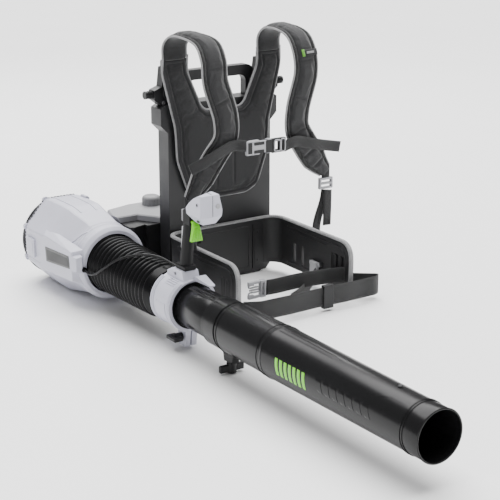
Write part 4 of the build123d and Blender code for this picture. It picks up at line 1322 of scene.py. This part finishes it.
def tube_details():
    """Beads round the tubes, the rib on top of the inner tube, the rolled outlet and the top stud."""
    for name, y, r, body in (
        ("ring_outlet", -1281.4, 53.0, "nozzle_tube"), ("ring_band_a", -1240, 53.6, "nozzle_tube"),
        ("ring_band_b", -1234, 53.7, "nozzle_tube"), ("ring_seam", -797, 57.5, "nozzle_tube"),
        ("ring_neck_a", -570, 54.9, "extension"), ("ring_neck_b", -626, 56.7, "extension"),
        ("ring_neck_c", -780, 56.7, "extension"),
    ):
        ring = [(AXIS_X + r * c, y, AXIS_Z + r * s) for c, s in circle(144)]
        hoop(name, ring, 1.1, TUBE, body, "tube_plastic")
    rib = patch("inner_tube_rib", rectangle(-452, -556, 92, 112), 0.16, GRIP, inner_point, (16, 6), 0.1)
    settle(rib, "tube", "tube_plastic")
    lip = patch("inner_tube_rib_slot", rectangle(-458, -550, 97, 107), 0.22, TUBE, inner_point, (16, 4), 0.1)
    settle(lip, "tube", "tube_plastic")
    runs = (rectangle(-1000, -1150, 132, 133.6),
            [(-1150, 132), (-1178, 122), (-1178, 123.6), (-1150, 133.6)],
            rectangle(-1178, -1226, 122, 123.6))
    marks = [patch(f"outlet_mark_{k}", corners, 0.8, TUBE, nozzle_point, (8, 2), 0.4)
             for k, corners in enumerate(runs)]
    settle(join(marks, "nozzle_outlet_marks"), "nozzle_tube", "tube_plastic")
    profile = [(5.4, 160), (5.4, 164.2), (4.6, 165.4), (0, 165.8)]
    stud = turned_about("z", (-336, -1166), profile, BLACK, "nozzle_stud")
    settle(stud, "nozzle_tube", "tube_plastic")


def clamp_details():
    """Flanges, side ribs, a pad, beads and two screw holes on the handle's clamp."""
    rows = []
    for y in (-358.5, -364, -434, -439):
        rows.append((rectangle(y, y - 2.6, 118, 258), 2.0, (2, 40), 0.6))
        rows.append((rectangle(y, y - 2.2, -78, 62), 1.3, (2, 40), 0.6))
    for a in range(108, 133, 5):
        rows.append((rectangle(-386, -424, a, a + 2), 1.8, (10, 2), 0.6))
    rows.append((rectangle(-378, -420, 172, 214), 1.6, (8, 12), 0.8))
    ribs = [patch(f"clamp_rib_{k}", corners, height, GREY, clamp_point, steps, edge)
            for k, (corners, height, steps, edge) in enumerate(rows)]
    settle(join(ribs, "clamp_ribs"), "handle", "grey_plastic")
    for k, y in enumerate((-357.5, -366, -431, -439.5)):
        for place, start, end in (("far", -66, 62), ("near", 118, 250)):
            arc = [clamp_point(y, a, 0.6) for a in np.linspace(start, end, 70)]
            settle(round_cord(f"clamp_bead_{place}_{k}", arc, 1.8, GREY, 8), "handle", "grey_plastic")
    # Painted shade: each screw hole is a thin black disc on the grey surface and stands for the shade inside
    # it.
    for k, (y, z) in enumerate(((-396, 162), (-402, 178))):
        x = AXIS_X - 21.2
        profile = [(3.8, x), (3.8, x - 0.5), (0, x - 0.4)]
        cup = turned_about("x", (y, z), profile, BLACK, f"clamp_screw_hole_{k}")
        settle(cup, "handle", "grey_plastic")
        rim = [(x - 0.2, y + 4.6 * c, z + 4.6 * s) for c, s in circle(24)]
        hoop(f"clamp_screw_rim_{k}", rim, 0.9, GREY, "handle", "grey_plastic")


def control_head():
    """The faceted head, the dark neck below it, a seam down its front and a slot on its near side."""
    near = [(-354, -439, 340), (-354, -470, 366), (-354, -490, 375.5), (-354, -500, 376.5),
            (-354, -500, 327), (-354, -441, 327), (-351, -502, 376.5), (-351, -502, 327)]
    far = [(-306, -502, 376.5), (-297.5, -502, 340), (-299, -502, 327), (-297.5, -412, 340),
           (-297.5, -412, 318), (-306, -470, 376.5), (-330, -412, 340), (-330, -412, 318)]
    lower = [(-341, -490, 308), (-341, -462, 308), (-308, -490, 308), (-308, -420, 308),
             (-330, -420, 308)]
    body = hull("control_head", near + far + lower, GREY, 1.2)
    settle(body, "handle", "grey_plastic", "handle_head")
    neck = [(-350, -419, 298), (-350, -419, 330), (-350, -448, 336), (-350, -448, 298),
            (-346, -416, 298), (-346, -416, 330),
            (-326, -412, 298), (-326, -412, 330), (-326, -448, 336), (-326, -448, 298)]
    settle(hull("grip_neck", neck, GRIP, 1.5), "handle", "black_plastic")
    seam = [(-323, -502.1, z) for z in np.linspace(328, 375, 12)] + [(-323, -496, 377), (-323, -476, 377)]
    settle(round_cord("head_seam", seam, 0.6, DARK_GREY, 8), "handle", "grey_plastic")
    # Painted shade: the slot is a thin black plate and stands for the shade inside it.
    slot = plate("head_slot", "x", -350.3, oblong((-486, 317), 6, 2.2, 2), -0.9, BLACK, 0.1)
    settle(slot, "handle", "grey_plastic")


def blade_point(y, z, u):
    """A point of the trigger, which widens downward; u runs from -1 to 1 across it."""
    down = (318 - z) / 50
    return (AXIS_X - 5 * down + u * (3.5 + 11.5 * down), y, z)


def trigger_blade():
    """A blade that widens downward, with upright ribs on its front."""
    outline = [(-446, 310), (-457, 310), (-467, 299), (-472, 268), (-463, 268), (-458, 290),
               (-453, 303), (-444, 308)]
    vertices = [blade_point(y, z, side) for side in (-1, 1) for y, z in outline]
    blade = prism("trigger_blade", vertices, LEAF_GREEN)
    soften(blade, 1.2, 3, CREASE)
    settle(blade, BODY_OF["trigger"], "green_plastic", "trigger")
    ribs = []
    front = ((-457.6, 309), (-467.2, 299), (-471.9, 270))
    for k in range(5):
        path = [blade_point(y, z, -0.72 + 0.36 * k) for y, z in front]
        ribs.append(round_cord(f"trigger_rib_{k}", curve(path, 2), 0.9, LEAF_GREEN, 8))
    settle(join(ribs, "trigger_ribs"), BODY_OF["trigger"], "green_plastic")


def turbo_cap():
    """A low round button on the head's front."""
    profile = [(5.6, -496), (5.6, -503.6), (4.9, -504.4), (3.6, -504.0), (0, -503.9)]
    cap = turned_about("y", (-310, 350), profile, BUCKLE_GREY, "turbo_cap")
    settle(cap, BODY_OF["turbo_button"], "grey_plastic", "turbo_button")


def head_details():
    """A dark screw pocket, a thin black disc of painted shade, with its rim on the near side of the head."""
    x, y, z = -354.1, -487, 355
    profile = [(3.6, x + 0.4), (3.6, x - 0.3), (3.0, x - 0.5), (0, x - 0.2)]
    # Painted shade: the black disc stands for the shade inside the screw pocket.
    cup = turned_about("x", (y, z), profile, BLACK, "head_screw_pocket")
    settle(cup, "handle", "grey_plastic")
    rim = [(x - 0.1, y + 4.4 * c, z + 4.4 * s) for c, s in circle(24)]
    hoop("head_screw_rim", rim, 0.8, GREY, "handle", "grey_plastic")


def buckle_details():
    """Dark wells and raised frames on the chest buckle; the frames are painted light grey as a highlight along
    the edges of the black male buckle.
    """
    wells = (("a", (-41, 392), (6, 14), 5.2), ("b", (-16, 402), (15, 4), 7.2),
             ("d", (-16, 382), (15, 4), 7.2), ("c", (13, 392), (9, 16), 7.2))
    for tag, centre, half, out in wells:
        well = plate(f"chest_well_{tag}", "y", CHEST_Y - out, oblong(centre, *half, 2), -0.7, BLACK, 0.2)
        settle(well, "chest_strap", "black_plastic")
    # Painted highlight: the raised frames are light grey on the black male buckle and stand for the light along
    # its edges.
    for tag, x, across, up in (("a", 40, 9, 14), ("b", 57, 6, 16)):
        loop = [(x + sx * across, CHEST_Y - 5.2, 390 + sz * up) for sx, sz in CORNERS]
        bead(f"chest_male_highlight_edge_{tag}", loop, 1.8, BUCKLE_GREY, BODY_OF["chest_buckle_male"],
             "black_plastic", True, 4)


def hip_loops():
    """Curved guide loops of the open hip buckle, in the plane of its prongs."""
    loop = ((-70, 6), (-90, 8), (-110, 6), (-111, 20), (-92, 25), (-70, 22))
    for k, sign in enumerate((1, -1)):
        points = [(x, -322, 66 + sign * rise * 0.85) for x, rise in loop]
        bead(f"hip_loop_{k}", points, 2.3, BUCKLE_GREY, BODY_OF["hip_buckle"], "black_plastic", True, 6)


def bar_tacks():
    """Bar tacks low on both shoulder straps, and the blank label on the left one."""
    for side, tag in ((-1, "right"), (1, "left")):
        points = curve(strap_route(side), STEP)
        along, across, out = frames(points, (1, 0, 0))
        total = STEP * (len(points) - 1)
        lines = []
        for s in (total - 58, total - 92, total - 126, total - 160):
            i = int(s / STEP)
            half = strap_half_width(s, total)
            for u in (-0.84, 0.84):
                for shift in (-1.6, 0, 1.6):
                    base = points[i] + across[i] * u * half + out[i] * 5.6 + along[i] * shift
                    lines.append(([base - across[i] * 4, base + across[i] * 4], [out[i]] * 2))
        settle(stitches(f"bar_tacks_{tag}", lines, BAR_THREAD, 2.2, 2.2, 0.6), "pack", "pad_fabric")
        if side > 0:
            strap_label(points, across, out)


def strap_label(points, across, out):
    """A blank woven label with a green tab and a light bar."""
    whole, middle = slice(45, 49), slice(46, 48)
    rows = (("strap_label", whole, 10.4, 9, 42, 0.9, LABEL),
            ("strap_label_tab", whole, 10.7, -12, 8, 1.0, LABEL_GREEN),
            ("strap_label_mark", middle, 10.9, 9, 22, 1.0, PIPING))
    for name, part, lift, shift, width, thickness, material in rows:
        route = points[part] + out[part] * lift + across[part] * shift
        settle(ribbon(name, route, width, thickness, (1, 0, 0), material), "pack", "pad_fabric")


DOCK_REAR = 186.2
DOCK_SIDE = 150.2


def dock_details():
    """Framed panels with vent slots on the dock's rear and side walls, corner screws and a seam line."""
    rear, side = DOCK_REAR, DOCK_SIDE
    loop = [(-134, rear, 18), (134, rear, 18), (134, rear, 146), (-134, rear, 146)]
    bead("dock_rear_bead", loop, 1.6, BLACK, "pack", "black_plastic", True, 10)
    loop = [(side, 46, 18), (side, 172, 18), (side, 172, 146), (side, 46, 146)]
    bead("dock_side_bead", loop, 1.6, BLACK, "pack", "black_plastic", True, 10)
    vents = []
    # Painted shade: the vent slots and the lips over them are darker rubber and stand for the shade inside the
    # slots.
    for k in range(9):
        z = 48 + 9 * k
        for x in (-72, 72):
            slot = oblong((x, z), 42, 2.2, 2.1)
            vents.append(plate(f"vent_{x}_{k}", "y", rear - 0.3, slot, 0.9, RUBBER, 0.3))
            lip = [(x - 43, rear + 0.4, z + 3.4), (x + 43, rear + 0.4, z + 3.4)]
            vents.append(round_cord(f"vent_lip_{x}_{k}", curve(lip, 8), 1.0, RUBBER, 8))
        slot = oblong((109, z), 44, 2.2, 2.1)
        vents.append(plate(f"vent_side_{k}", "x", side - 0.3, slot, 0.9, RUBBER, 0.3))
    settle(join(vents, "dock_vents"), "pack", "black_plastic")
    centre = [(0, rear, 30), (0, rear, 134)]
    bead("dock_rear_rib", centre, 2.0, BLACK, "pack", "black_plastic")
    profile = [(4.4, rear - 0.4), (4.4, rear + 1.4), (3.0, rear + 1.9), (1.8, rear + 0.7), (0, rear + 0.7)]
    for sx in (-1, 1):
        for z in (12, 152):
            head = turned_about("y", (sx * 143, z), profile, DARK_GREY, f"dock_screw_{sx + 1}_{z}")
            settle(head, "pack", "black_plastic")
    seam = [(-190.3, 29.7, 150), (-190.3, 150, 150), (-150, 186.3, 150), (150.3, 186.3, 150),
            (150.3, 29.7, 150)]
    bead("dock_seam", seam, 0.9, GRIP, "pack", "black_plastic", corner=3)


FORK_FACE = 14.3


def fork_details():
    """Rings, screws and ribs on both faces of the strap forks, and rings on the pegs beside them."""
    for side, tag in SIDES:
        for out, place in ((-1, "front"), (1, "back")):
            face = out * FORK_FACE
            for k, r in enumerate((13, 18)):
                ring = [(side * 142 + r * c, face, 508 + r * s) for c, s in circle(48)]
                hoop(f"fork_ring_{place}_{tag}_{k}", ring, 1.5, BLACK, "pack", "black_plastic")
            profile = [(5, face - out), (5, face + out), (3.4, face + 1.8 * out),
                       (2.2, face + 0.6 * out), (0, face + 0.6 * out)]
            for k, (x, z) in enumerate(((116, 484), (160, 484), (142, 556))):
                head = turned_about("y", (side * x, z), profile, DARK_GREY,
                                    f"fork_screw_{place}_{tag}_{k}", 12)
                settle(head, "pack", "black_plastic")
            for k in range(3):
                outline = oblong((side * (129 + 7 * k), 542), 1.2, 12, 1)
                rib = plate(f"fork_rib_{place}_{tag}_{k}", "y", face, outline, 2 * out, BLACK, 0.4)
                settle(rib, "pack", "black_plastic")
        for k, x in enumerate((188, 192, 196)):
            ring = [(side * x, 9.2 * c, 505 + 9.2 * s) for c, s in circle(32)]
            hoop(f"peg_ring_{tag}_{k}", ring, 1.2, BLACK, "pack", "black_plastic")


arm_details()
lumbar_details()
tube_details()
fork_details()
dock_details()
clamp_details()
control_head()
head_details()
trigger_blade()
turbo_cap()
buckle_details()
hip_loops()
bar_tacks()


# ---------------------------------------------------------------- scene: floor, light, camera

def area_light(name, place, aim, size, power):
    data = bpy.data.lights.new(name, "AREA")
    data.shape = "RECTANGLE"
    data.size, data.size_y = size
    data.energy = power
    light = link(name, data)
    light.location = place
    light.rotation_euler = (Vector(aim) - Vector(place)).to_track_quat("-Z", "Y").to_euler()


FLOOR_RADIUS = 45000


def studio():
    """A bright world, a very wide pale floor, a soft sun from above and three area lights."""
    world = bpy.data.worlds.new("studio")
    bpy.context.scene.world = world
    world.use_nodes = True
    world.node_tree.nodes["Background"].inputs["Color"].default_value = (1, 1, 1, 1)
    world.node_tree.nodes["Background"].inputs["Strength"].default_value = 0.36
    floor_mat, tree, shader = start_material("floor", 0.7)
    tint = noise(tree, coordinates(tree), 3, 2)
    pale = ramp(tree, tint, 0.3, 0.7, (0.955, 0.955, 0.955), (0.97, 0.97, 0.97))
    tree.links.new(pale, shader.inputs["Base Color"])
    ring = [(FLOOR_RADIUS * c, FLOOR_RADIUS * s, -0.6) for c, s in circle(96)]
    floor = build("floor", ring, [tuple(range(96))], floor_mat)
    sun = bpy.data.lights.new("sky", "SUN")
    sun.energy = 7.6
    sun.angle = math.radians(70)
    sky = link("sky", sun)
    sky.rotation_euler = Vector((0.15, 0.22, 1.0)).to_track_quat("Z", "Y").to_euler()
    area_light("key", (-2.7, -1.4, 2.2), (-0.2, -0.5, 0.2), (0.6, 2.2), 14)
    area_light("fill", (1.6, -3.4, 1.4), (0, -0.3, 0.3), (1.0, 1.6), 8)
    area_light("back", (0.9, 2.6, 2.0), (0, -0.2, 0.3), (2.4, 0.8), 40)


def camera():
    azimuth, elevation = math.radians(-33.6), math.radians(17.06)
    level = math.cos(elevation)
    back = Vector((math.sin(azimuth) * level, -math.cos(azimuth) * level, math.sin(elevation)))
    data = bpy.data.cameras.new("camera")
    data.lens = 99.2
    data.sensor_width = 36
    data.clip_end = 120
    obj = link("camera", data)
    obj.location = (-1.858, -2.959, 1.141)
    obj.rotation_euler = (-back).to_track_quat("-Z", "Y").to_euler()
    bpy.context.scene.camera = obj


HARD_PARTS = {
    "back_frame": (FRAME_BLACK, 1.0), "yoke_handle": (BLACK, 1.2), "lumbar_plate": (ARM_BLACK, 0.8),
    "hip_arm_left": (ARM_BLACK, 1.2), "hip_arm_right": (ARM_BLACK, 1.2), "belt_clip_pins": (STEEL, 0.3),
    "belt_clip_left": (BUCKLE_GREY, 0.8), "belt_clip_right": (BUCKLE_GREY, 0.8),
    "strap_keeper": (BLACK, 0.8), "battery_dock": (BLACK, 1.2), "dock_shelf": (SHELF_GREY, 1.0),
    "dock_terminal": (BLACK, 0.8), "dock_latch": (LATCH_GREY, 0.6), "dock_feet": (RUBBER, 1.0),
    "blower_bracket": (BLACK, 1.2), "intake_grille": (DARK_GREY, 0.6),
    "housing_front_ring": (GREY, 1.0), "cable_grommet": (RUBBER, 0.6), "fan_duct": (BLACK, 0.5),
    "fan_rotor": (FRAME_BLACK, 0.4), "motor_shaft": (STEEL, 0.3), "motor_stator": (COPPER, 0.3),
    "motor_bearings": (STEEL, 0.3), "outer_tube": (TUBE, 0.5), "collar_knob": (BLACK, 1.0),
    "clamp_ring": (GREY, 1.2), "clamp_liner": (RUBBER, 0.3), "clamp_knob": (BLACK, 1.0),
    "handle_grip": (GRIP, 1.5), "grip_strip": (BUCKLE_GREY, 0.6), "trigger_pin": (STEEL, 0.2),
    "speed_lever": (DARK_GREY, 0.8), "hip_buckle": (BUCKLE_GREY, 0.6),
    "ladder_locks": (BUCKLE_GREY, 0.8), "chest_buckle_female": (BUCKLE_GREY, 0.8),
    "chest_buckle_male": (BLACK, 0.8),
}


RESHAPED = {"clamp_ring": slim_tail, "handle_grip": slim_collar, "grip_strip": short_strip}
for part, finish in HARD_PARTS.items():
    shell = hard_part(part, *finish)
    if part in RESHAPED:
        reshape(shell, RESHAPED[part])


studio()
camera()
